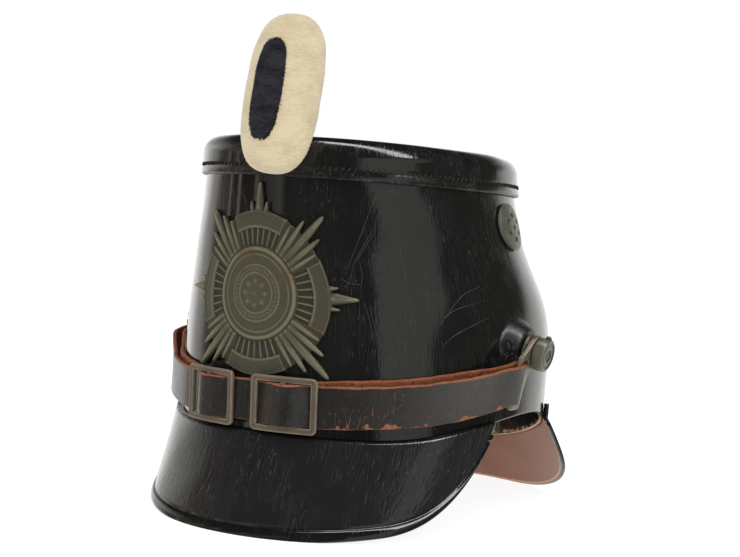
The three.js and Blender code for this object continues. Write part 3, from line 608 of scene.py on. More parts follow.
def loft(points, close_rows=False):
    """Points and faces of a skin over rings of points. Without close_rows the ends are capped."""
    rows, columns = points.shape[:2]
    bands = np.arange(rows if close_rows else rows - 1)
    row, column = np.meshgrid(bands, np.arange(columns), indexing="ij")
    next_row, next_column = (row + 1) % rows, (column + 1) % columns
    corners = [row * columns + column, row * columns + next_column]
    corners += [next_row * columns + next_column, next_row * columns + column]
    faces = np.stack(corners, -1).reshape(-1, 4).tolist()
    if not close_rows:
        last = (rows - 1) * columns
        faces.append(list(range(columns))[::-1])
        faces.append([last + i for i in range(columns)])
    return points.reshape(-1, 3), faces


def join(*skins):
    """Several skins as the points and faces of one mesh"""
    points, faces, start = [], [], 0
    for some_points, some_faces in skins:
        points.append(np.asarray(some_points, float).reshape(-1, 3))
        faces += [[corner + start for corner in face] for face in some_faces]
        start += len(points[-1])
    return np.concatenate(points), faces


def stand_for(obj, slot, *nodes):
    """The object rides on the hat and is shown in place of these solids."""
    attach(obj, BODY)
    if nodes:
        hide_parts(*nodes)
    return obj


def cut(obj, *cutters):
    """Cuts closed skins, given as points and faces in the hat's frame, out of an object."""
    for points, faces in cutters:
        tool = make_mesh("cutter", points, faces, obj.data.materials[0])
        step = obj.modifiers.new("cut", "BOOLEAN")
        step.object, step.operation, step.solver = tool, "DIFFERENCE", "EXACT"
        evaluated = obj.evaluated_get(bpy.context.evaluated_depsgraph_get())
        mesh = bpy.data.meshes.new_from_object(evaluated)
        obj.modifiers.clear()
        old = obj.data
        obj.data = mesh
        bpy.data.meshes.remove(old)
        bpy.data.meshes.remove(tool.data)
    return obj


def cylinder(start, end, radius, sides):
    """A closed round rod between two points"""
    start, end = np.asarray(start, float), np.asarray(end, float)
    way = unit(end - start)
    across = unit(np.cross(way, ODD_WAY))
    other = np.cross(way, across)
    turn = around(sides)[:, None]
    ring = radius * (np.cos(turn) * across + np.sin(turn) * other)
    return loft(np.stack([start + ring, end + ring]))


# Materials

class NodeTree:
    """A node tree with short ways to add nodes"""

    def __init__(self, tree):
        self.tree = tree

    def feed(self, socket, value):
        """Links another node's socket, or sets a value. A colour is given as red, green and blue."""
        if isinstance(value, bpy.types.NodeSocket):
            self.tree.links.new(value, socket)
        elif socket.type == "RGBA":
            socket.default_value = (*value, 1)
        else:
            socket.default_value = value

    def node(self, kind, settings=None, **inputs):
        made = self.tree.nodes.new("ShaderNode" + kind)
        for key, value in (settings or {}).items():
            setattr(made, key, value)
        for key, value in inputs.items():
            self.feed(made.inputs[key], value)
        return made

    def in_order(self, made, values):
        """Feeds a node's inputs in their order, for nodes whose inputs share names."""
        for socket, value in zip(made.inputs, values):
            self.feed(socket, value)
        return made.outputs[0]

    def math(self, operation, *values):
        return self.in_order(self.node("Math", {"operation": operation}), values)

    def times(self, first, second):
        return self.math("MULTIPLY", first, second)

    def plus(self, first, second):
        return self.math("ADD", first, second)

    def ramp(self, value, low, high, start=0.0, end=1.0, easing="SMOOTHSTEP"):
        """Maps low to start and high to end, clamped and eased."""
        made = self.node("MapRange", {"interpolation_type": easing})
        return self.in_order(made, (value, low, high, start, end))

    def mix(self, factor, first, second):
        """Mixes two colours. The node's colour sockets come after those of its other kinds."""
        made = self.node("Mix", {"data_type": "RGBA"})
        for index, value in zip((0, 6, 7), (factor, first, second)):
            self.feed(made.inputs[index], value)
        return made.outputs[2]


class Shader(NodeTree):
    """A material's node tree"""

    def __init__(self, name, **surface):
        self.material = bpy.data.materials.new(name)
        self.material.use_nodes = True
        super().__init__(self.material.node_tree)
        self.finish(**surface)

    def finish(self, **surface):
        """Feeds the surface's sockets, named with _ for a space, and gives the material."""
        sockets = self.tree.nodes["Principled BSDF"].inputs
        for socket, value in surface.items():
            self.feed(sockets[socket.replace("_", " ")], value)
        return self.material

    def attribute(self, name, output="Fac"):
        return self.node("Attribute", {"attribute_name": name}).outputs[output]

    def place(self, *scale):
        """Position on the object in millimetres, stretched by one scale or by one for each axis"""
        where = self.node("TexCoord").outputs["Object"]
        in_mm = np.broadcast_to(scale, 3) / MM
        return self.node("Mapping", Vector=where, Scale=in_mm.tolist()).outputs[0]

    def laid(self, along, down):
        """Position along a piece and down it, from its attribute lay, stretched by two scales"""
        where = self.attribute("lay", "Vector")
        return self.node("Mapping", Vector=where, Scale=(along, down, 0.0)).outputs[0]

    def noise(self, where, detail=3, roughness=0.55):
        return self.node("TexNoise", Vector=where, Scale=1.0, Detail=detail, Roughness=roughness).outputs[0]

    def bump(self, height, depth, under=None):
        """Bump of a height from 0 to 1, with its depth in millimetres"""
        made = self.node("Bump", Height=height, Distance=depth * MM, Strength=1.0)
        if under is not None:
            self.feed(made.inputs["Normal"], under)
        return made.outputs[0]

    def contours(self, value, count, width):
        """Thin lines where a smooth value passes evenly spaced levels"""
        spread = self.math("FRACT", self.times(value, count))
        away = self.math("ABSOLUTE", self.math("SUBTRACT", spread, 0.5))
        return self.ramp(away, 0.0, width, 1.0, 0.0)

    def scratches(self, along, down, count, width, bare):
        """Long fine lines that wander down a piece, in patches"""
        lines = self.contours(self.noise(self.laid(along, down), detail=1), count, width)
        patches = self.noise(self.laid(0.05, 0.03))
        return self.times(lines, self.ramp(patches, bare, bare + 0.14))


def lacquer_material():
    """Black lacquer over leather: streaked, scratched, cracked by crazing and scuffed to the leather at raw
    edges. The light ticks of the crazing are partly a painted highlight.
    """
    s = Shader("lacquer", IOR=1.5)
    crazed, edge = s.attribute("crazed"), s.attribute("raw")
    grained, streaked = s.attribute("grained"), s.attribute("streaked")
    fine = s.scratches(0.3, 0.02, count=12.0, width=0.05, bare=0.4)
    coarse = s.scratches(0.12, 0.012, count=10.0, width=0.03, bare=0.45)
    marks = s.math("MAXIMUM", fine, coarse)
    # Light-grey ticks of crazing; round the posts they are also a painted highlight
    ticks = s.contours(s.noise(s.laid(0.45, 0.07), detail=2), count=12.0, width=0.1)
    ticks = s.times(ticks, s.ramp(s.noise(s.laid(0.16, 0.16), detail=4), 0.42, 0.6))
    ticks = s.times(ticks, crazed)
    crumbs = s.noise(s.place(0.3), detail=5, roughness=0.65)
    ragged = s.plus(edge, s.math("MULTIPLY_ADD", crumbs, 1.8, -0.95))
    raw = s.times(s.ramp(ragged, 0.42, 0.62), s.ramp(edge, 0.02, 0.2))
    shade = s.noise(s.place(0.015, 0.015, 0.01))
    black = s.mix(shade, (0.0057, 0.0057, 0.0056), (0.010, 0.010, 0.0098))
    black = s.mix(grained, black, (0.014, 0.014, 0.0145))
    shown = s.times(marks, s.math("MULTIPLY_ADD", grained, 0.45, 0.5))
    marked = s.mix(shown, black, (0.07, 0.066, 0.06))
    marked = s.mix(ticks, marked, (0.22, 0.215, 0.2))
    tan = s.mix(s.noise(s.place(0.8)), (0.42, 0.17, 0.06), (0.62, 0.38, 0.2))
    rough = s.ramp(s.noise(s.laid(0.04, 0.015), detail=4), 0.3, 0.75, 0.02, 0.075)
    for where, rougher in ((marks, 0.15), (raw, 0.5), (crazed, 0.32), (grained, 0.07)):
        rough = s.plus(rough, s.times(where, rougher))
    streaks = s.times(s.noise(s.laid(1.0, 0.2), detail=1), streaked)
    broad = s.noise(s.laid(0.22, 0.012), detail=1)
    pebbles = s.times(s.noise(s.laid(0.55, 0.28), detail=2), grained)
    normal = None
    for height, depth in ((streaks, 0.04), (broad, 0.018), (marks, -0.01), (pebbles, 0.16)):
        normal = s.bump(height, depth, normal)
    return s.finish(Base_Color=s.mix(raw, marked, tan), Roughness=rough, Normal=normal)


def scratch_material():
    """Dull grey of lacquer that has been scraped"""
    return Shader("scraped_lacquer", Base_Color=(0.05, 0.047, 0.043), Roughness=0.4).material


def guard_material():
    """Bare brown leather inside, black lacquer outside, raw tan edges"""
    s = Shader("guard_leather")
    broad = s.noise(s.place(0.03, 0.03, 0.05), detail=4)
    fine = s.noise(s.place(0.7, 0.7, 0.3), detail=4)
    brown = s.mix(broad, (0.196, 0.074, 0.041), (0.285, 0.12, 0.072))
    brown = s.mix(s.ramp(fine, 0.5, 0.8, 0.0, 0.6), brown, (0.135, 0.046, 0.025))
    tan = s.mix(fine, (0.42, 0.16, 0.06), (0.6, 0.36, 0.2))
    black = (0.007, 0.0065, 0.0065)
    inside = s.plus(s.attribute("inside"), s.math("MULTIPLY_ADD", fine, 0.12, -0.06))
    bare = s.ramp(inside, 0.45, 0.55)
    ragged = s.plus(s.attribute("raw"), s.math("MULTIPLY_ADD", fine, 0.9, -0.45))
    colour = s.mix(s.ramp(ragged, 0.5, 0.75), s.mix(bare, black, brown), tan)
    rough = s.ramp(bare, 0.0, 1.0, 0.26, 0.5)
    return s.finish(Base_Color=colour, Roughness=rough, Normal=s.bump(fine, 0.05))


def strap_material():
    """Worn black leather with a tan flesh side, raw tan edges and cracks across it. The flesh side is
    darkened as painted shade, and the black is painted lighter towards the posts as a painted reflection.
    """
    s = Shader("strap_leather")
    _, across, face = s.node("SeparateXYZ", Vector=s.attribute("lay", "Vector")).outputs
    fine = s.noise(s.place(0.9), detail=4)
    coarse = s.noise(s.place(0.12), detail=4)
    # The flesh side's brown is darkened all over as painted shade, for the inner layer's flesh that shows
    # in shadow above the outer layer
    flesh = s.mix(coarse, (0.11, 0.026, 0.010), (0.27, 0.084, 0.031))
    flesh = s.mix(s.ramp(fine, 0.42, 0.7), flesh, (0.055, 0.014, 0.006))
    tan = s.mix(coarse, (0.17, 0.038, 0.012), (0.33, 0.125, 0.055))
    tan = s.mix(s.ramp(fine, 0.5, 0.72, 0.0, 0.75), tan, (0.10, 0.026, 0.010))
    black = s.mix(coarse, (0.010, 0.009, 0.008), (0.026, 0.024, 0.022))
    black = s.mix(s.ramp(fine, 0.52, 0.7, 0.0, 0.4), black, (0.055, 0.05, 0.046))
    # Grey that the black turns to towards the posts: a painted reflection of the light on the strap's face
    painted_sheen_grey = s.mix(fine, (0.03, 0.028, 0.025), (0.088, 0.084, 0.076))
    black = s.mix(s.attribute("dusty"), black, painted_sheen_grey)
    top_worn = s.math("MULTIPLY_ADD", coarse, 1.0, 0.45)
    ragged = s.math("MULTIPLY_ADD", fine, 0.8, -0.1)
    bottom_worn = s.math("MULTIPLY_ADD", s.ramp(coarse, 0.52, 0.7), 2.6, ragged)
    at_top = s.math("LESS_THAN", s.math("SUBTRACT", STRAP_WIDTH / 2, across), top_worn)
    at_bottom = s.math("LESS_THAN", s.plus(STRAP_WIDTH / 2, across), bottom_worn)
    edge = s.math("MAXIMUM", at_top, at_bottom)
    cracks = s.contours(s.noise(s.laid(0.15, 0.035), roughness=0.4), count=11.0, width=0.05)
    patches = s.math("MULTIPLY_ADD", s.attribute("wear"), 0.3, s.noise(s.laid(0.07, 0.1)))
    cracks = s.times(cracks, s.ramp(patches, 0.7, 0.82))
    grain = s.ramp(face, -0.2, 0.5)
    outer = s.mix(s.times(cracks, 0.7), black, tan)
    colour = s.mix(edge, s.mix(grain, flesh, outer), tan)
    bare = s.math("MAXIMUM", edge, cracks)
    rough = s.plus(s.ramp(grain, 0.0, 1.0, 0.85, 0.3), s.times(bare, 0.3))
    normal = s.bump(cracks, -0.1, s.bump(fine, 0.2))
    return s.finish(Base_Color=colour, Roughness=rough, Normal=normal)


def patina_material(name, dark, light, stain, rough, metallic, relief=False):
    """Tarnished metal: dull in its hollows, rubbed on its ridges, with warm stains"""
    s = Shader(name, Metallic=metallic)
    broad = s.noise(s.place(0.06), detail=5)
    fine = s.noise(s.place(0.8), detail=4)
    if relief:
        ridges = s.attribute("relief")
    else:
        ridges = s.ramp(s.node("NewGeometry").outputs["Pointiness"], 0.47, 0.58)
    colour = s.mix(s.math("MULTIPLY_ADD", ridges, 0.75, s.times(fine, 0.25)), dark, light)
    colour = s.mix(s.ramp(broad, 0.52, 0.72, 0.0, 0.7), colour, stain)
    roughness = s.ramp(fine, 0.2, 0.8, rough - 0.1, rough + 0.12)
    return s.finish(Base_Color=colour, Roughness=roughness, Normal=s.bump(fine, 0.03))


def wool_material(name, dark, light, depth, sheen):
    """Fibres that lie round a piece, in lighter and darker clumps"""
    s = Shader(name, Sheen_Weight=sheen, Sheen_Roughness=0.5, Roughness=0.95, Specular_IOR_Level=0.15)
    fibres = s.noise(s.place(0.35, 0.35, 2.2), detail=4)
    clumps = s.noise(s.place(0.1, 0.1, 0.16))
    shade = s.math("MULTIPLY_ADD", clumps, 0.5, s.times(fibres, 0.5))
    colour = s.mix(s.ramp(shade, 0.3, 0.62), dark, light)
    return s.finish(Base_Color=colour, Normal=s.bump(fibres, depth))


LACQUER = lacquer_material()
GUARD_LEATHER = guard_material()
STRAP_LEATHER = strap_material()
SCRAPED = scratch_material()
PLATE_METAL = patina_material(
    "plate_patina",
    dark=(0.015, 0.0145, 0.009),
    light=(0.19, 0.177, 0.11),
    stain=(0.085, 0.048, 0.024),
    rough=0.45,
    metallic=0.2,
    relief=True,
)
NICKEL = patina_material(
    "tarnished_nickel",
    dark=(0.05, 0.049, 0.036),
    light=(0.215, 0.21, 0.16),
    stain=(0.10, 0.086, 0.054),
    rough=0.4,
    metallic=0.4,
)
STEEL = patina_material(
    "browned_steel",
    dark=(0.06, 0.048, 0.034),
    light=(0.34, 0.285, 0.21),
    stain=(0.13, 0.08, 0.042),
    rough=0.4,
    metallic=0.4,
)
CREAM_WOOL = wool_material("cream_wool", (0.52, 0.42, 0.262), (0.645, 0.55, 0.37), depth=0.25, sheen=0.3)
NAVY_WOOL = wool_material("navy_wool", (0.002, 0.002, 0.004), (0.027, 0.026, 0.032), depth=0.3, sheen=0.04)
WAXED_THREAD = wool_material(
    "waxed_thread", (0.006, 0.005, 0.0045), (0.035, 0.022, 0.014), depth=0.1, sheen=0.1)


# Pieces

def crown_marks(azimuths, heights, raw):
    """The crown's worn edge, the crazing round its posts, whose light ticks there are partly a painted
    highlight, and its streaks
    """
    turned = np.degrees(from_front(azimuths))
    crazed = smoothstep(from_boss(azimuths, heights), BOSS_RADIUS + 2, BOSS_RADIUS - 1)
    # Stronger on the upper flank of each boss, where the crazing's light ticks are also a painted highlight
    crazed *= 0.5 + 0.5 * smoothstep(heights, POST_HEIGHT - 6, POST_HEIGHT + 4)
    streaks = [smoothstep(turned, *limits) for limits in STREAKS.values()]
    return {
        "raw": raw * smoothstep(np.abs(turned), *WORN_EDGE),
        "crazed": crazed,
        "streaked": 0.15 + 0.85 * np.maximum(*streaks),
        "lay": down_piece(azimuths, heights),
    }


def crown_body():
    azimuth = around(CROWN_GRID["columns"])[None, :]
    low, high = lower_edge(azimuth), top_edge(azimuth) + TOP_LAP
    half_wall = CROWN_WALL / 2
    share_out = np.linspace(0, 1, CROWN_GRID["outside"])[:, None]
    share_in = np.linspace(1, 0, CROWN_GRID["inside"])[:, None]
    rim = np.linspace(math.pi, 0, CROWN_GRID["rim"] + 2)[1:-1, None]
    base = low + half_wall
    heights = np.concatenate([
        base + (high - base) * share_out,
        base + (high - base) * share_in,
        base - half_wall * np.sin(rim) + 0 * azimuth,
    ])
    outs = np.concatenate([
        0 * share_out,
        0 * share_in - CROWN_WALL,
        -half_wall + half_wall * np.cos(rim),
    ]) + 0 * azimuth
    azimuths = azimuth + 0 * heights
    points = crown_point(azimuths, heights, outs + boss_lift(azimuths, heights))
    fade = smoothstep(heights, base, base + 12)
    points += crown_normal(azimuths, heights) * (crown_unevenness(points) * fade)[..., None]
    raw = np.concatenate([
        0 * share_out,
        WORN_RIM["inside"] * bump(share_in, 0, WORN_RIM["share"]),
        WORN_RIM["rim"] * np.sin(rim),
    ]) + 0 * azimuth
    marks = crown_marks(azimuths, heights, raw)
    obj = make_mesh("crown", *loft(points, close_rows=True), LACQUER, marks)
    for side in SIDES.values():
        reach = VENT_PORT["reach"]
        ends = [crown_point(side * VENT["azimuth"], VENT["height"], out) for out in (-reach, reach)]
        cut(obj, cylinder(*ends, VENT_PORT["radius"], sides=40))
    return stand_for(obj, "lacquered_leather", "crown_body")


def bend(rise, out, radius, angles):
    return [(rise + radius * math.sin(angle), out + radius * math.cos(angle)) for angle in angles]


def top_profile():
    """Rise above the lower edge and distance out, from the middle of the top to its inside"""
    out = GAP + TOP_WALL
    shoulder = (TOP_SKIRT - TOP_SHOULDER, out - TOP_SHOULDER)
    rows = bend(*shoulder, TOP_SHOULDER, np.linspace(math.pi / 2, 0, 16))
    rows += [(rise, out) for rise in np.linspace(shoulder[0], TOP_RIM, 40)[1:]]
    rows += bend(TOP_RIM, out - TOP_RIM, TOP_RIM, np.linspace(0, -math.pi, 9)[1:])
    rows += bend(*shoulder, TOP_SHOULDER - TOP_WALL, np.linspace(0, math.pi / 2, 8))
    rise, distance = np.array(rows).T
    skirt = smoothstep(rise, TOP_SKIRT - TOP_SHOULDER, 2) * (distance > GAP + TOP_WALL / 2)
    groove = STITCH_GROOVE["depth"] * bump(rise, STITCH["rise"], STITCH_GROOVE["half_width"])
    hem = HEM["swell"] * bump(rise, HEM["rise"], HEM["half_width"])
    return rise, distance + skirt * (hem - groove)


def top_point(azimuth, rise, out):
    return crown_point(azimuth, top_edge(azimuth) + rise, out)


def crown_top():
    azimuth = around(CROWN_GRID["columns"])[None, :]
    rise, out = (column[:, None] + 0 * azimuth for column in top_profile())
    walls = top_point(azimuth + 0 * rise, rise, out)
    middle = (crown_point(0, top_edge(0), 0) + crown_point(math.pi, top_edge(math.pi), 0)) / 2
    share = np.linspace(0.01, 1, 40)[:-1, None, None]

    def plateau(rim, drop):
        centre = middle + [0, 0, TOP_SKIRT + TOP_DOME - drop]
        flat = centre + (rim - centre) * share
        flat[..., 2] += TOP_DOME * (share - share**2)[..., 0]
        return flat

    points = np.concatenate([plateau(walls[:1], 0), walls, plateau(walls[-1:], TOP_WALL)[::-1]])
    normals = crown_normal(azimuth + 0 * points[..., 0], points[..., 2] - 10)
    skirt_waves = TOP_WAVES["skirt"] * ripple(points, seed=8, wavelength=26)
    skirt_waves *= smoothstep(points[..., 2], *TOP_WAVES["skirt_heights"])
    points += normals * skirt_waves[..., None]
    flat_waves = TOP_WAVES["flat"] * ripple(points, seed=9, wavelength=38)
    points[..., 2] += flat_waves * smoothstep(points[..., 2], *TOP_WAVES["flat_heights"])
    over_edge = points[..., 2] - top_edge(azimuth)
    crazed = 0.4 * bump(over_edge, 2.4, 2.2) + 0.3 * bump(over_edge, TOP_SKIRT - 4, 3)
    crazed = np.maximum(crazed, smoothstep(over_edge, 1.3, 0.7))
    streaked = smoothstep(over_edge, TOP_SKIRT, TOP_SKIRT - 2)
    lay = down_piece(azimuth + 0 * over_edge, over_edge)
    marks = {"crazed": crazed, "streaked": streaked, "lay": lay}
    obj = make_mesh("crown_lid", *loft(points), LACQUER, marks)
    return stand_for(obj, "lacquered_leather", "crown_top")


def top_stitches():
    """One round of stitches, each a small slanted capsule lying in the groove"""
    fine = np.linspace(0, TAU, 2000)
    line = top_point(fine, np.full_like(fine, STITCH["rise"]), GAP + TOP_WALL)
    length = lengths_along(line)
    count = round(length[-1] / STITCH["pitch"])
    lift = GAP + TOP_WALL + STITCH["proud"]
    along, size = STITCH_SECTIONS["along"][:, None, None], STITCH_SECTIONS["size"][:, None, None]
    turn = around(8)[:, None]
    draw = np.random.default_rng(21)
    skins = []
    for i in range(count):
        at = np.interp((i + draw.uniform(-0.06, 0.06)) * length[-1] / count, length, fine)
        centre = top_point(at, STITCH["rise"] + draw.uniform(-0.12, 0.12), lift)
        level = unit(top_point(at + 0.01, STITCH["rise"], lift) - centre)
        out = crown_normal(np.array(at), np.array(TOP_EDGE))
        upright = np.cross(out, level)
        slant = draw.uniform(*STITCH_SLANT)
        way = level * math.cos(slant) + upright * math.sin(slant)
        up = upright * math.cos(slant) - level * math.sin(slant)
        spots = centre + way * along * STITCH["length"] / 2 - out * STITCH["bow"] * along**4
        ring = np.cos(turn) * up + np.sin(turn) * out
        skins.append(loft(spots + STITCH["thickness"] / 2 * size * ring))
    obj = make_mesh("top_stitches", *join(*skins), WAXED_THREAD)
    return stand_for(obj, "lacquered_leather")


def deep_scratches():
    """The few deep scratches on the crown, as thin scraped lines that stand a hair proud of it"""
    turn = around(6)
    skins = []
    for path in SCRATCHES:
        azimuth, height = through(np.array(path, float), 24).T
        azimuth = np.radians(azimuth)
        line = crown_point(azimuth, height, boss_lift(azimuth, height))
        out = crown_normal(azimuth, height)
        across = unit(np.cross(np.gradient(line, axis=0), out))
        taper = np.sin(np.linspace(0.08, math.pi - 0.08, len(line)))[:, None, None] ** 0.5
        ring = np.cos(turn)[None, :, None] * across[:, None] * SCRATCH["width"] / 2
        ring = ring + np.sin(turn)[None, :, None] * out[:, None] * SCRATCH["height"]
        centre = line + out * crown_unevenness(line)[:, None]
        skins.append(loft(centre[:, None] + ring * taper))
    obj = make_mesh("deep_scratches", *join(*skins), SCRAPED)
    return stand_for(obj, "lacquered_leather")


def settle(points):
    """Lifts what would reach below the surface that the hat rests on."""
    points[..., 2] = np.maximum(points[..., 2], -REST_DEPTH)
    return points


def peak_edge(azimuth, seam):
    """The peak's front edge, drawn back to the seam at both corners"""
    swept = azimuth * PEAK_EDGE["spread"]
    y = PEAK_EDGE["centre"] - PEAK_EDGE["front"] * np.cos(swept)
    far = np.stack([PEAK_EDGE["side"] * np.sin(swept), y, PEAK_EDGE_LEVEL + PEAK_RISE * y], -1)
    corner = PEAK_CORNER["end"] - PEAK_CORNER["start"]
    past = np.maximum(0, (np.abs(azimuth) - PEAK_CORNER["start"]) / corner)
    reach = (1 - past ** PEAK_CORNER["bulge"]) ** (1 / PEAK_CORNER["bulge"])
    return seam + (far - seam) * reach[:, None]


def peak_swell(from_edge, length):
    """How far the bead along the peak's edge stands out, less its groove and the rounded seam"""
    in_beads = from_edge / np.minimum(PEAK_BEAD["height"], length / 3)
    swell = np.sqrt(np.clip(1 - ((in_beads - 0.5) / 0.52) ** 2, 0, 1)) * PEAK_BEAD["out"]
    swell -= PEAK_BEAD["groove"] * bump(in_beads, 1.12, 0.12)
    return swell - PEAK_ROUNDING["seam"] * smoothstep(length - from_edge, PEAK_ROUNDING["seam_width"], 0)


def front_peak():
    azimuth = np.linspace(-PEAK_END, PEAK_END, PEAK_COLUMNS)
    seam_height = curve(PEAK_UPPER_EDGE, "azimuth", "height", np.degrees(np.abs(azimuth)))
    seam = crown_point(azimuth, seam_height, GAP + PEAK_WALL)
    edge = peak_edge(azimuth, seam)
    length = np.linalg.norm(edge - seam, axis=1)[:, None]
    down = (edge - seam) / length
    normal = crown_normal(azimuth, seam_height)
    normal = unit(normal - down * np.sum(normal * down, axis=1)[:, None])
    from_edge = length * (1 - PEAK_ROWS)
    turn = np.linspace(0, math.pi, 9)[None, 1:-1]
    half = PEAK_WALL / 2
    edge_drop = -PEAK_ROUNDING["edge"] * np.sin(turn) + 0 * length
    edge_out = -half + half * np.cos(turn) + 0 * length
    inner_drop = length * np.linspace(0, 1, PEAK_LINING_ROWS)
    distances = np.concatenate([from_edge, edge_drop, inner_drop], 1)
    outs = np.concatenate([peak_swell(from_edge, length), edge_out, -PEAK_WALL + 0 * inner_drop], 1)
    points = edge[:, None] - down[:, None] * distances[..., None] + normal[:, None] * outs[..., None]
    foot = crown_point(azimuth, seam_height, GAP)
    blend = smoothstep(inner_drop, length * 0.5, length)
    lining = slice(from_edge.shape[1] + edge_drop.shape[1], None)
    points[:, lining] += (foot - points[:, -1])[:, None] * blend[..., None]
    uneven = PEAK_WAVES["height"] * ripple(points, seed=12, wavelength=30)
    uneven *= smoothstep(distances, PEAK_WAVES["start"], PEAK_WAVES["end"])
    points += normal[:, None] * uneven[..., None]
    marks = {
        "raw": np.concatenate([0 * from_edge, 0 * edge_drop + 0.2, 0 * inner_drop], 1),
        "lay": down_piece(azimuth[:, None] + 0 * distances, distances),
        "grained": smoothstep(distances, PEAK_BEAD["height"], PEAK_BEAD["height"] + 2),
    }
    obj = make_mesh("peak", *loft(settle(points)), LACQUER, marks)
    return stand_for(obj, "lacquered_leather", "front_peak")


def neck_guard():
    from_nape = np.linspace(-GUARD_HALF_SPAN, GUARD_HALF_SPAN, GUARD_COLUMNS)[:, None]
    azimuth = math.pi + from_nape
    seam = lower_edge(azimuth)
    edge = curve(GUARD_EDGE, "azimuth", "height", np.degrees(np.abs(from_nape)))
    half = GUARD_WALL / 2
    share = np.linspace(0, 1, GUARD_ROWS)[None, :]
    turn = np.linspace(0, math.pi, 9)[None, 1:-1]
    top = seam + GUARD_FLANGE
    low = edge + half * GUARD_ROUNDING
    down = top + (low - top) * share
    up = low + (top - low) * share
    round_height = low - half * GUARD_ROUNDING * np.sin(turn)
    heights = np.concatenate([down, round_height, up], 1)
    outs = np.concatenate([
        GAP + GUARD_WALL + 0 * down,
        GAP + half + half * np.cos(turn) + 0 * low,
        GAP + 0 * up,
    ], 1)
    azimuths = azimuth + 0 * heights
    flare = GUARD_FLARE * np.maximum(0, seam - heights)
    points = crown_point(azimuths, heights, outs + flare)
    inside = np.concatenate([0 * down, 0 * round_height, 1 + 0 * up], 1) * (heights < seam + 1)
    lip = bump(np.abs(from_nape), GUARD_HALF_SPAN - math.radians(1.2), math.radians(0.6))
    raw = np.maximum(lip * (heights < seam), bump(heights, low, 1.2)) * inside
    inside *= np.abs(from_nape) < GUARD_HALF_SPAN - 1e-6
    between_edges = smoothstep(heights, edge, edge + 8) * smoothstep(heights, seam + 6, seam - 4)
    uneven = GUARD_WAVES * ripple(points, seed=15, wavelength=32) * between_edges
    points += crown_normal(azimuths, heights) * uneven[..., None]
    marks = {"inside": inside, "raw": raw}
    obj = make_mesh("neck_guard_leather", *loft(settle(points)), GUARD_LEATHER, marks)
    return stand_for(obj, "guard_leather", "neck_guard")


# Star plate

def plate_rays():
    """Each ray's angle in degrees, reach, half width and kind"""
    rays = []
    for start in (0, 90, 180, 270):
        if start != 180:  # no ray of the cross points down
            for angle, reach, half_width in CROSS_RAYS:
                for turned in sorted({angle, -angle}):
                    rays.append((start + turned, reach, half_width, "cross"))
        for angle, reach, half_width in BUNDLE_RAYS:
            for turned in sorted({angle, 90 - angle}):
                rays.append((start + turned, reach, half_width, "bundle"))
    return rays


def ray_height(angle, radius, ray):
    """Height of a rounded ray's back, below 0 outside it"""
    at, reach, half_width, kind = ray
    lateral = radius * np.sin(angle - math.radians(at))
    forward = radius * np.cos(angle - math.radians(at))
    if kind == "bundle":
        taper = np.clip((reach - forward) / BUNDLE_TIP, 0, 1) ** 0.35
    else:
        taper = 0.2 + 0.8 * np.clip((reach - forward) / (reach - PLATE_DISC + 1), 0, 1)
    width = np.maximum(half_width * taper, 1e-6)
    inside = 1 - (lateral / width) ** 2
    return np.where((forward > 0) & (forward < reach), inside, -1)


def ridge(radius, middle, half_width):
    """A round-backed ridge of height 1"""
    return np.sqrt(np.clip(1 - ((radius - middle) / half_width) ** 2, 0, 1))


def rings(shape, radius, rows):
    """Height of several rings that have one shape across"""
    return sum(rise * shape(radius, middle, half_width) for middle, half_width, rise in rows)


def between(radius, ring):
    """1 inside a ring and 0 outside, eased at both edges"""
    return smoothstep(radius, *ring["start"]) * smoothstep(radius, *ring["end"])


def from_quarter(angle):
    """Degrees from the nearest of the directions up, down, left and right"""
    return (np.degrees(angle) + 45) % 90 - 45


def plate_fans(angle, radius):
    """How far the flutes and the bare bands stand out"""
    quarter = from_quarter(angle)
    across = np.abs((quarter / FLUTE["degrees"]) % 1 - 0.5)
    flutes = FLUTE["rise"] * bump(across, 0.5, FLUTE["width"]) - FLUTE["depth"]
    bands = BAND_RISE * between(radius, BAND_RING) + rings(bump, radius, BAND_LINES)
    return (between(radius, FAN_RING) * flutes + bands) * smoothstep(np.abs(quarter), *FAN_EDGE)


def plate_middle(angle, radius):
    """How far the rings, the wreath and the rosette stand out"""
    height = rings(ridge, radius, MIDDLE_RIDGES) + rings(bump, radius, MIDDLE_LINES)
    slant = (radius - WREATH["radius"]) * WREATH["slant"]
    leaves = WREATH["low"] + WREATH["rise"] * np.abs(np.sin(angle * WREATH["leaves"] + slant))
    height += bump(radius, WREATH["radius"], WREATH["half_width"]) * leaves
    lobes = np.cos(angle * PETALS["lobes"]) ** 2
    petals = bump(radius, PETALS["radius"] + PETALS["spread"] * lobes, PETALS["half_width"])
    petals *= PETALS["low"] + PETALS["rise"] * lobes
    return height + smoothstep(radius, *ROSETTE["edge"]) * (ROSETTE["low"] + petals)


def plate_relief(angle, radius):
    """Height of the plate's face over its back"""
    height = PLATE_FACE["outside"] + PLATE_FACE["swell"] * smoothstep(radius, 40, 21)
    height += plate_fans(angle, radius)
    for ray in plate_rays():
        back = ray_height(angle, radius, ray)
        begun = (back > 0) * smoothstep(radius, *RAY_STARTS[ray[3]])
        rounded = RAY_BACK["edge"] + RAY_BACK["rise"] * np.sqrt(np.clip(back, 0, 1))
        height = np.maximum(height, rounded * begun)
    inner = smoothstep(radius, PLATE_RING, PLATE_RING - 1)
    return height * (1 - inner) + PLATE_FACE["middle"] * inner + plate_middle(angle, radius)


def evened(height):
    """The mean height over about a millimetre each way on the plate's grid"""
    last = len(height) - 1
    down = sum(height[np.clip(np.arange(last + 1) + step, 0, last)] for step in range(-2, 3)) / 5
    return sum(np.roll(down, step, axis=1) for step in range(-7, 8)) / 15


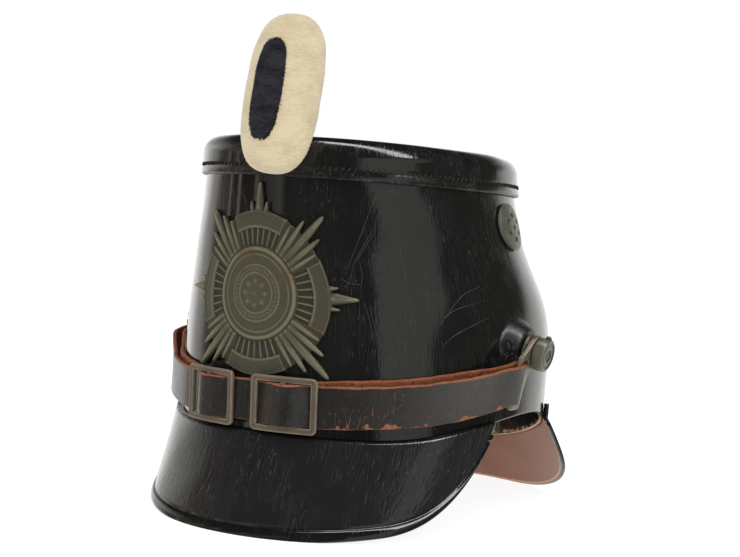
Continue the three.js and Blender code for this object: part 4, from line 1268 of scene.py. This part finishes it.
def plate_outline(angle):
    """How far the rays and the disc reach at each angle"""
    trial = np.linspace(PLATE_EVEN, PLATE_REACH, 361)[:, None] + 0 * angle
    covered = trial < PLATE_DISC - 0.6 * (np.abs(from_quarter(angle)) > 27)
    for ray in plate_rays():
        covered |= ray_height(angle + 0 * trial, trial, ray) > 0
    return np.max(np.where(covered, trial, 0), axis=0)[None, :]


def front_plate():
    angle = around(PLATE_GRID["columns"])[None, :]
    outline = plate_outline(angle)
    inner = np.linspace(0.15, PLATE_EVEN, PLATE_GRID["inner"])[:, None] + 0 * outline
    share = np.linspace(0, 1, PLATE_GRID["outer"] + 1)[1:, None]
    radius = np.concatenate([inner, PLATE_EVEN + (outline - PLATE_EVEN) * share])
    over_rim = plate_relief(angle + 0 * radius, radius) - PLATE_RIM["height"]
    rim = smoothstep(outline - radius, 0, PLATE_RIM["width"])
    height = PLATE_RIM["height"] + over_rim * (1 - PLATE_RIM["share"] * (1 - rim))
    back_radius = outline * PLATE_BACK_SHARES[:, None]
    all_radius = np.concatenate([radius, back_radius])
    all_height = np.concatenate([height, 0 * back_radius])
    x = PLATE_WIDTH_SHARE * all_radius * np.sin(angle)
    flat = np.stack([x, all_radius * np.cos(angle), PLATE_STANDOFF + all_height], -1)
    relief = RUBBED["high"] * smoothstep(all_height, *RUBBED["heights"])
    proud = smoothstep(height - evened(height), *RUBBED["over_mean"])
    relief[:len(height)] += RUBBED["proud"] * proud
    skin = loft(wrap_on_crown(flat, PLATE_AZIMUTH, PLATE_HEIGHT))
    obj = make_mesh("star_plate", *skin, PLATE_METAL, {"relief": relief})
    return stand_for(obj, "plate_metal", "front_plate")


# Field badge

def badge_place(points):
    """From the badge's own frame, with z up its length and -y to the front, to the hat's frame"""
    lean = np.array(Matrix.Rotation(-BADGE_LEAN, 3, "X"))
    raised = points + [0, 0, BADGE["height"] / 2]
    return raised @ lean.T + [BADGE_SIDE_STEP, -BADGE_FRONT, BADGE_FOOT]


def badge_section(rise):
    share = (1 - np.abs(rise / (BADGE["height"] / 2)) ** BADGE_BULGE) ** (1 / BADGE_BULGE)
    return BADGE["width"] / 2 * share, BADGE["depth"] / 2 * share


def badge_wool():
    step = np.linspace(0, math.pi, BADGE_GRID["rows"] + 2)[1:-1, None]
    even = np.linspace(-1, 1, BADGE_GRID["rows"] + 2)[1:-1, None]
    rise = BADGE["height"] / 2 * (0.55 * even - 0.45 * np.cos(step))
    turn = around(BADGE_GRID["columns"])[None, :]
    width, depth = badge_section(rise)
    points = np.stack([width * np.cos(turn), depth * np.sin(turn), rise + 0 * turn], -1)
    drift = 0.35 * ripple(points, seed=31, wavelength=16) + 0.12 * ripple(points, seed=32, wavelength=5)
    thread = np.abs(np.sin(math.pi * (points[..., 2] / THREAD["pitch"] + drift)))
    lump = THREAD["depth"] * (thread - 1) + 0.12 * ripple(points, seed=33, wavelength=14)
    outward = np.stack([np.cos(turn) + 0 * rise, np.sin(turn) + 0 * rise, 0 * rise + 0 * turn], -1)
    points += outward * lump[..., None]
    obj = make_mesh("badge_wool", *loft(badge_place(points)), CREAM_WOOL)
    return stand_for(obj, "cream_wool", "field_badge_wool")


def pad_point(x, up, out):
    """A point at a distance out from the front of the badge"""
    rise = up + CENTRE_OVAL["rise"]
    width, depth = badge_section(rise)
    return np.stack([x, -depth * np.sqrt(1 - (x / width) ** 2) - out, rise], -1)


def oval_spot(share, angle):
    """A place on the centre's oval, as x and up"""
    way = np.stack([np.cos(angle), np.sin(angle)], -1)
    half = np.array([CENTRE_OVAL["width"], CENTRE_OVAL["height"]]) / 2
    return share[..., None] * half * np.sign(way) * np.abs(way) ** (2 / BADGE_BULGE)


def centre_pad(draw):
    turn = around(CENTRE_COLUMNS)[None, :]
    ragged = CENTRE_RAGGED * (draw.normal(size=turn.shape) + np.sin(turn * 9 + 1))
    flat_shares = np.linspace(0.01, 0.8, 30)
    shares = np.concatenate([flat_shares, CENTRE_EDGE["share"]])[:, None]
    outs = np.concatenate([1 + 0 * flat_shares, CENTRE_EDGE["out"]])[:, None]
    spread = shares * (1 + ragged * smoothstep(shares, 0.6, 0.98))
    x, up = np.moveaxis(oval_spot(spread, turn), -1, 0)
    points = pad_point(x, up, CENTRE_OVAL["depth"] * outs + 0 * turn)
    points[..., 1] -= CENTRE_PILE * ripple(points, seed=42, wavelength=2.2, count=14) * (outs > 0.9)
    return loft(badge_place(points))


def centre_fibre(angle, draw):
    """A loose fibre across the pad's edge"""
    start = oval_spot(np.array(draw.uniform(0.9, 1.0)), angle)
    way = unit(start) * draw.uniform(0.3, 0.9) + draw.normal(size=2) * 0.25
    line = start + np.linspace(0, 1, 4)[:, None] * way
    spine = pad_point(line[:, 0], line[:, 1], FIBRE["lifts"] * draw.uniform(0.5, 1.1))
    across = unit(np.array([-way[1], 0, way[0]]))
    thick = FIBRE["thickness"] * FIBRE["sizes"][:, None]
    sides = (across, -across * 0.5 + [0, -0.87, 0], -across * 0.5 + [0, 0.87, 0])
    return loft(badge_place(np.stack([spine + thick * side for side in sides], 1)))


def badge_centre():
    """A dark oval pad with a ragged edge, and loose fibres across that edge"""
    draw = np.random.default_rng(41)
    skins = [centre_pad(draw)]
    skins += [centre_fibre(angle, draw) for angle in draw.uniform(0, TAU, CENTRE_FIBRES)]
    obj = make_mesh("badge_centre", *join(*skins), NAVY_WOOL)
    return stand_for(obj, "navy_wool", "field_badge_center")


# Metal fittings

def lathe(radii, outs, segments):
    """Rings of points round the z axis"""
    turn = around(segments)[None, :]
    radius, out = radii[:, None], outs[:, None]
    return np.stack([radius * np.cos(turn), radius * np.sin(turn), out + 0 * turn], -1)


def vent(name, side):
    """A domed disc, pierced while it is flat and then bent to the crown"""
    dome = VENT["dome"] * (1 - VENT_SHARES**2)
    rounding = VENT_ROUNDING["drop"] * smoothstep(VENT_SHARES, VENT_ROUNDING["start"], 1)
    face = VENT["thickness"] + dome - rounding
    radii = np.concatenate([VENT_SHARES, VENT_SHARES[::-1]]) * VENT["radius"]
    disc = lathe(radii, np.concatenate([face, dome[::-1]]), segments=72)
    obj = make_mesh("vent_disc_" + name, *loft(disc - HAT_PLACE), NICKEL)
    spots = [(0, 0)]
    for angle in around(VENT_HOLES["count"]) + VENT_HOLES["start"]:
        spots.append((VENT_HOLES["circle"] * math.cos(angle), VENT_HOLES["circle"] * math.sin(angle)))
    for x, y in spots:
        ends = [np.array([x, y, out]) - HAT_PLACE for out in VENT_HOLES["reach"]]
        cut(obj, cylinder(*ends, VENT_HOLES["radius"], sides=20))
    flat = np.array([vertex.co for vertex in obj.data.vertices]) / MM
    flat[:, 2] += VENT_STANDOFF
    placed = (wrap_on_crown(flat, side * VENT["azimuth"], VENT["height"]) + HAT_PLACE) * MM
    obj.data.vertices.foreach_set("co", placed.ravel())
    face_outwards(obj)
    for polygon in obj.data.polygons:
        polygon.use_smooth = False
    return stand_for(obj, "nickel", "vent_" + name)


def post_place(side):
    """A post's own frame, x along the crown, y up and z out along its axis: its columns and its foot"""
    azimuth = np.array(side * POST_AZIMUTH)
    height = np.array(float(POST_HEIGHT))
    level = np.array(Matrix.Rotation(side * POST_SWEEP, 3, "Z")) @ crown_normal(azimuth, height)
    axis = level * math.cos(POST_DROOP) - np.array([0, 0, math.sin(POST_DROOP)])
    along = np.cross([0, 0, 1], level)
    rise = np.cross(axis, along)
    return np.stack([along, rise, axis], 1), crown_point(azimuth, height, POST_FOOT)


def at_post(points, side):
    columns, foot = post_place(side)
    return points @ columns.T + foot


def ball(centre, radius, rows=10, columns=16):
    step = np.linspace(0, math.pi, rows + 2)[1:-1]
    return np.asarray(centre) + radius * lathe(np.sin(step), np.cos(step), columns)


def side_post(name, side):
    turned = lathe(POST_PROFILE["radius"][1:-1], POST_PROFILE["out"][1:-1], POST_SEGMENTS)
    nose = ball((0, POST_NOSE["up"], POST_NOSE["out"]), POST_NOSE["radius"])
    skins = [loft(at_post(turned, side)), loft(at_post(nose, side))]
    obj = make_mesh("post_" + name, *join(*skins), NICKEL)
    return stand_for(obj, "nickel", "side_post_" + name)


def arc(centre, radius, start, end, steps):
    angle = np.radians(np.linspace(start, end, steps))
    return np.stack([centre[0] + radius * np.cos(angle), centre[1] + radius * np.sin(angle)], -1)


def loop_paths():
    """A loop's outline, slot and hole, as distances forward and up from its post"""
    x, top, bottom = LOOP_BAR["x"], LOOP_BAR["top"], LOOP_BAR["bottom"]
    bar_inside = x - LOOP_BAR_WIDTH / 2
    outline = np.concatenate([
        arc((0, 0), LOOP_RING_RADIUS, 55, 272, 34),
        LOOP_ARM,
        arc((x, bottom), LOOP_END_RADIUS, 265, 350, 7),
        arc((x, top), LOOP_END_RADIUS, 10, 90, 7),
    ])
    slot = np.concatenate([
        [(bar_inside, top - LOOP_SLOT_END), (bar_inside, bottom + LOOP_SLOT_END)],
        [(bar_inside - LOOP_SLOT_WIDTH, y) for y in (bottom + LOOP_SLOT_END, LOOP_SLOT_BEND)],
        arc((0, 0), LOOP_RING_RADIUS, 322, 342, 5),
    ])
    return outline, slot, arc((0, 0), LOOP_HOLE_RADIUS, 0, 360 - 360 / 40, 40)


def bevelled_plate(paths, thickness, bevel):
    """Points and faces of a flat plate with holes and bevelled edges"""
    flat = bpy.data.curves.new("loop_shape", "CURVE")
    flat.dimensions, flat.fill_mode = "2D", "BOTH"
    flat.bevel_depth, flat.bevel_resolution = bevel, 3
    flat.extrude = thickness / 2 - bevel
    flat.offset = -bevel
    for path in paths:
        spline = flat.splines.new("POLY")
        spline.points.add(len(path) - 1)
        spline.use_cyclic_u = True
        for point, (x, y) in zip(spline.points, path):
            point.co = (x, y, 0, 1)
    holder = bpy.data.objects.new("loop_shape", flat)
    bpy.context.scene.collection.objects.link(holder)
    evaluated = holder.evaluated_get(bpy.context.evaluated_depsgraph_get())
    mesh = bpy.data.meshes.new_from_object(evaluated)
    points = np.array([vertex.co for vertex in mesh.vertices])
    faces = [list(polygon.vertices) for polygon in mesh.polygons]
    bpy.data.objects.remove(holder)
    bpy.data.meshes.remove(mesh)
    return points, faces


def strap_loop(name, side):
    paths = [path * [-side, 1] for path in loop_paths()]
    points, faces = bevelled_plate(paths, LOOP_THICKNESS, LOOP_BEVEL)
    points[:, 2] += LOOP_SEAT + LOOP_THICKNESS / 2
    obj = make_mesh("loop_" + name, at_post(points, side), faces, STEEL, smooth=False)
    return stand_for(obj, "steel", "strap_loop_" + name)


def rounded_rectangle(width, height, corner, straight=14, turn=6):
    """Points round a rectangle and the outward direction at each"""
    points, outward = [], []
    for sign_x, sign_y, start in ((1, 1, 0), (-1, 1, 90), (-1, -1, 180), (1, -1, 270)):
        centre = (sign_x * (width / 2 - corner), sign_y * (height / 2 - corner))
        for angle in np.radians(np.linspace(start, start + 90, turn)):
            outward.append((math.cos(angle), math.sin(angle)))
            points.append((centre[0] + corner * outward[-1][0], centre[1] + corner * outward[-1][1]))
    points, outward = np.array(points), np.array(outward)
    path, ways = [], []
    for i in range(len(points)):
        j = (i + 1) % len(points)
        cuts = straight if (i + 1) % turn == 0 else 1
        for k in range(cuts):
            path.append(points[i] + (points[j] - points[i]) * k / cuts)
            ways.append(outward[i])
    return np.array(path), np.array(ways)


def buckle(name, side):
    bar, thickness = BUCKLE_BARS["frame"], BUCKLE["thickness"]
    sizes = (BUCKLE["width"] - bar, BUCKLE["height"] - bar, BUCKLE["corner"] - bar / 2)
    path, ways = rounded_rectangle(*sizes)
    out = BUCKLE_SECTION["out"][None, :, None] * bar / 2
    flat = path[:, None] + ways[:, None] * out
    up = BUCKLE["lift"] + BUCKLE_SECTION["up"] * thickness
    frame_rings = np.concatenate([flat, np.broadcast_to(up[None, :, None], flat.shape[:2] + (1,))], -1)
    turn = around(12)[None, :]
    bar_x = BUCKLE_BARS["middle"] / 2 * np.cos(turn)
    bar_y = np.linspace(-1, 1, 16)[:, None] * (BUCKLE["height"] / 2 - bar * 0.7)
    bar_z = BUCKLE["lift"] + thickness * (0.45 + 0.42 * np.sin(turn))
    rod = np.stack(np.broadcast_arrays(bar_x, bar_y, bar_z), -1)
    azimuth = side * BUCKLE_AZIMUTHS[name]
    skins = [
        loft(wrap_on_crown(frame_rings, azimuth, BUCKLE_HEIGHT), close_rows=True),
        loft(wrap_on_crown(rod, azimuth, BUCKLE_HEIGHT)),
    ]
    obj = make_mesh("buckle_frame_" + name, *join(*skins), STEEL)
    return stand_for(obj, "steel", "buckle_" + name)


# Chin strap

def strap_half(name):
    """Route of one half of the strap: points, directions across it and how worn it is"""
    side = SIDES[name]
    bar_along, bar_across, bar_out = post_place(side)[0].T
    bar_y = (LOOP_BAR["top"] + LOOP_BAR["bottom"]) / 2
    bar = at_post(np.array([-side * LOOP_BAR["x"], bar_y, LOOP_SEAT + LOOP_THICKNESS / 2]), side)
    route = []

    def add(azimuth, height, lift, turn, wear):
        across = np.array([0, 0, 1.0]) * (1 - turn) + bar_across * turn
        route.append((crown_point(side * azimuth, height, lift), unit(across), wear))

    def beside_buckle(along, lift, wear):
        azimuth = BUCKLE_AZIMUTHS[name] + along / crown_section(np.array(BUCKLE_HEIGHT))[2]
        add(azimuth, BUCKLE_HEIGHT, lift, 0, wear)

    for along, lift in zip(STRAP_WEAVE["along"], STRAP_WEAVE["lift"]):
        beside_buckle(along, lift, 0.7 if abs(along) < 12 else 0.2)
    for row in zip(*STRAP_OUTER.values()):
        add(math.radians(row[0]), *row[1:])
    radius = LOOP_BAR_WIDTH / 2 + STRAP_FOLD_SLACK + STRAP_THICKNESS / 2
    for angle in np.linspace(0, math.pi, STRAP_FOLD_STEPS + 1):
        round_bar = bar_out * math.cos(angle) + bar_along * side * math.sin(angle)
        route.append((bar + radius * round_bar, bar_across, 0.3))
    for row in zip(*STRAP_INNER.values()):
        add(math.radians(row[0]), *row[1:], 0.1)
    beside_buckle(STRAP_END["along"], STRAP_END["lift"], 0.2)
    return route


def through(points, samples):
    """Centripetal curve through points, with equal steps from each point to the next"""
    padded = np.concatenate([[2 * points[0] - points[1]], points, [2 * points[-1] - points[-2]]])
    place = np.linspace(0, len(points) - 1, samples)
    i = np.minimum(place.astype(int), len(points) - 2)
    u = (place - i)[:, None]
    p = [padded[i + k] for k in range(4)]
    steps = [np.linalg.norm(p[k + 1] - p[k], axis=-1, keepdims=True) for k in range(3)]
    gaps = [np.maximum(step, 1e-8) ** 0.5 for step in steps]
    middle = np.where(gaps[1] < 1e-3, 1.0, gaps[1])
    first = np.where(gaps[0] < 1e-3, middle, gaps[0])
    last = np.where(gaps[2] < 1e-3, middle, gaps[2])
    start = (p[1] - p[0]) / first - (p[2] - p[0]) / (first + middle) + (p[2] - p[1]) / middle
    end = (p[2] - p[1]) / middle - (p[3] - p[1]) / (middle + last) + (p[3] - p[2]) / last
    start, end = start * middle, end * middle
    cubic = 2 * p[1] - 2 * p[2] + start + end
    square = -3 * p[1] + 3 * p[2] - 2 * start - end
    return p[1] + start * u + square * u**2 + cubic * u**3


def strap_section():
    """Places across the strap's width and through its thickness, round its section"""
    half, edge = STRAP_THICKNESS / 2, STRAP_WIDTH / 2 - STRAP_EDGE_RADIUS
    wide = np.linspace(-1, 1, 25) * edge
    turn = np.linspace(0, math.pi, 9)[1:-1]
    bulge = edge + STRAP_EDGE_RADIUS * np.sin(turn)
    across = np.concatenate([wide, bulge, wide[::-1], -bulge])
    out = np.concatenate([0 * wide + half, half * np.cos(turn), 0 * wide - half, -half * np.cos(turn)])
    return across[None, :, None], out[None, :, None]


def chin_strap():
    front = (crown_point(0, STRAP_FRONT["height"], STRAP_FRONT["lift"]), np.array([0, 0, 1.0]), 0.1)
    route = [*strap_half("right")[::-1], front, *strap_half("left")]
    middle = through(np.array([row[0] for row in route]), STRAP_SAMPLES)
    across = unit(through(np.array([row[1] for row in route]), STRAP_SAMPLES))
    steps = np.linspace(0, len(route) - 1, STRAP_SAMPLES)
    wear = np.interp(steps, np.arange(len(route)), [row[2] for row in route])
    thick = unit(np.cross(np.gradient(middle, axis=0), across))
    w, h = strap_section()
    points = middle[:, None] + across[:, None] * w + thick[:, None] * h
    nick = 0.14 * ripple(points, seed=51, wavelength=11) + 0.05 * ripple(points, seed=52, wavelength=3)
    points += across[:, None] * (nick[..., None] * np.sign(w) * smoothstep(np.abs(w), *STRAP_NICKED))
    along = lengths_along(middle)
    lay = np.stack(np.broadcast_arrays(along[:, None, None], w, h / STRAP_THICKNESS * 2), -1)
    # How far towards each post the strap's black is painted lighter, as a painted reflection
    dusty = smoothstep(np.abs(along - along[-1] / 2), STRAP_SHEEN["start"], STRAP_SHEEN["end"])
    marks = {
        "lay": lay.reshape(-1, 3),
        "wear": np.broadcast_to(wear[:, None], points.shape[:2]),
        "dusty": np.broadcast_to(dusty[:, None], points.shape[:2]),
    }
    obj = make_mesh("strap", *loft(points), STRAP_LEATHER, marks)
    return stand_for(obj, "strap_leather", "chin_strap")


# Stage, camera and light

def floor():
    half = FLOOR["half"]
    corners = [(-half, -half, 0), (half, -half, 0), (half, half, 0), (-half, half, 0)]
    mesh = bpy.data.meshes.new("floor")
    mesh.from_pydata(corners, [], [(0, 1, 2, 3)])
    obj = bpy.data.objects.new("floor", mesh)
    bpy.context.scene.collection.objects.link(obj)
    shader = Shader("floor_paper", Roughness=0.9, Base_Color=3 * (FLOOR["grey"],), Specular_IOR_Level=0.0)
    mesh.materials.append(shader.finish(Emission_Color=(1, 1, 1), Emission_Strength=FLOOR["glow"]))
    obj.location.z = -FLOOR["drop"]
    obj.visible_glossy = False


def camera():
    back = Vector((
        math.sin(CAMERA_AZIMUTH) * math.cos(CAMERA_ELEVATION),
        -math.cos(CAMERA_AZIMUTH) * math.cos(CAMERA_ELEVATION),
        math.sin(CAMERA_ELEVATION),
    ))
    level = Vector((math.cos(CAMERA_AZIMUTH), math.sin(CAMERA_AZIMUTH), 0))
    upright = back.cross(level)
    right = level * math.cos(CAMERA_ROLL) + upright * math.sin(CAMERA_ROLL)
    up = back.cross(right)
    data = bpy.data.cameras.new("camera")
    data.sensor_width = SENSOR
    data.lens = FOCAL_PIXELS / IMAGE_WIDTH * SENSOR
    data.clip_start, data.clip_end = 0.01, 100
    obj = bpy.data.objects.new("camera", data)
    place = Vector((np.array(CAMERA_PLACE) + HAT_PLACE) * MM)
    obj.matrix_world = Matrix((right, up, back)).transposed().to_4x4()
    obj.location = place
    bpy.context.scene.collection.objects.link(obj)
    bpy.context.scene.camera = obj


def studio_light():
    """White to the camera, soft grey to dull surfaces, and lamps where the lacquer mirrors them"""
    world = bpy.data.worlds.new("studio")
    bpy.context.scene.world = world
    world.use_nodes = True
    s = NodeTree(world.node_tree)
    x, y, height = s.node("SeparateXYZ", Vector=s.node("TexCoord").outputs["Generated"]).outputs
    turn = s.math("ARCTAN2", x, s.times(y, -1.0))
    low = s.math("MINIMUM", s.math("MAXIMUM", height, 0.0), STUDIO_LEAN["up_to"])
    leaning = s.times(low, -STUDIO_LEAN["degrees"] / 360)
    share = s.plus(s.math("MULTIPLY_ADD", turn, 1 / TAU, 0.5), leaning)
    ramp = s.node("ValToRGB", Fac=share)
    stops = ramp.color_ramp.elements
    stops.remove(stops[1])
    for azimuth, *colour in zip(*STUDIO.values()):
        position = (azimuth + 180) / 360
        stop = stops.new(position) if position else stops[0]
        stop.color = (*(np.array(colour) / STUDIO_PEAK), 1)
    above = s.ramp(height, STUDIO_FADE["start"], STUDIO_FADE["end"], easing="LINEAR")
    mirrored = s.mix(above, ramp.outputs[0], 3 * (STUDIO_CEILING,))
    beside = s.math("ABSOLUTE", s.math("SUBTRACT", y, STRIP_LAMP["y"]))
    in_strip = s.math("LESS_THAN", beside, STRIP_LAMP["half"])
    in_strip = s.times(in_strip, s.math("GREATER_THAN", x, STRIP_LAMP["x"]))
    in_strip = s.times(in_strip, s.math("GREATER_THAN", height, STRIP_LAMP["low"]))
    mirrored = s.mix(in_strip, mirrored, 3 * (STRIP_LAMP["strength"] / STUDIO_PEAK,))
    scaled = s.node("VectorMath", {"operation": "SCALE"}, Scale=STUDIO_PEAK)
    s.feed(scaled.inputs[0], mirrored)
    path = s.node("LightPath").outputs
    soft = s.mix(path["Is Glossy Ray"], 3 * (STUDIO_SOFT,), scaled.outputs[0])
    shown = s.mix(path["Is Camera Ray"], soft, (1, 1, 1))
    s.feed(world.node_tree.nodes["Background"].inputs["Color"], shown)


def key_light():
    data = bpy.data.lights.new("key", "AREA")
    data.shape = "SQUARE"
    data.size = KEY_LIGHT["size"]
    data.energy = KEY_LIGHT["energy"]
    obj = bpy.data.objects.new("key", data)
    obj.location = KEY_LIGHT["place"]
    obj.rotation_euler = (-obj.location).to_track_quat("-Z", "Y").to_euler()
    obj.visible_glossy = False
    bpy.context.scene.collection.objects.link(obj)


crown_body()
crown_top()
top_stitches()
deep_scratches()
front_peak()
neck_guard()
front_plate()
badge_wool()
badge_centre()
for side_name, sign in SIDES.items():
    vent(side_name, sign)
    side_post(side_name, sign)
    strap_loop(side_name, sign)
    buckle(side_name, sign)
chin_strap()
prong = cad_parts["field_badge_prong"]
prong.data.materials.clear()
prong.data.materials.append(STEEL)

floor()
camera()
studio_light()
key_light()
bpy.context.scene.view_settings.view_transform = "Standard"
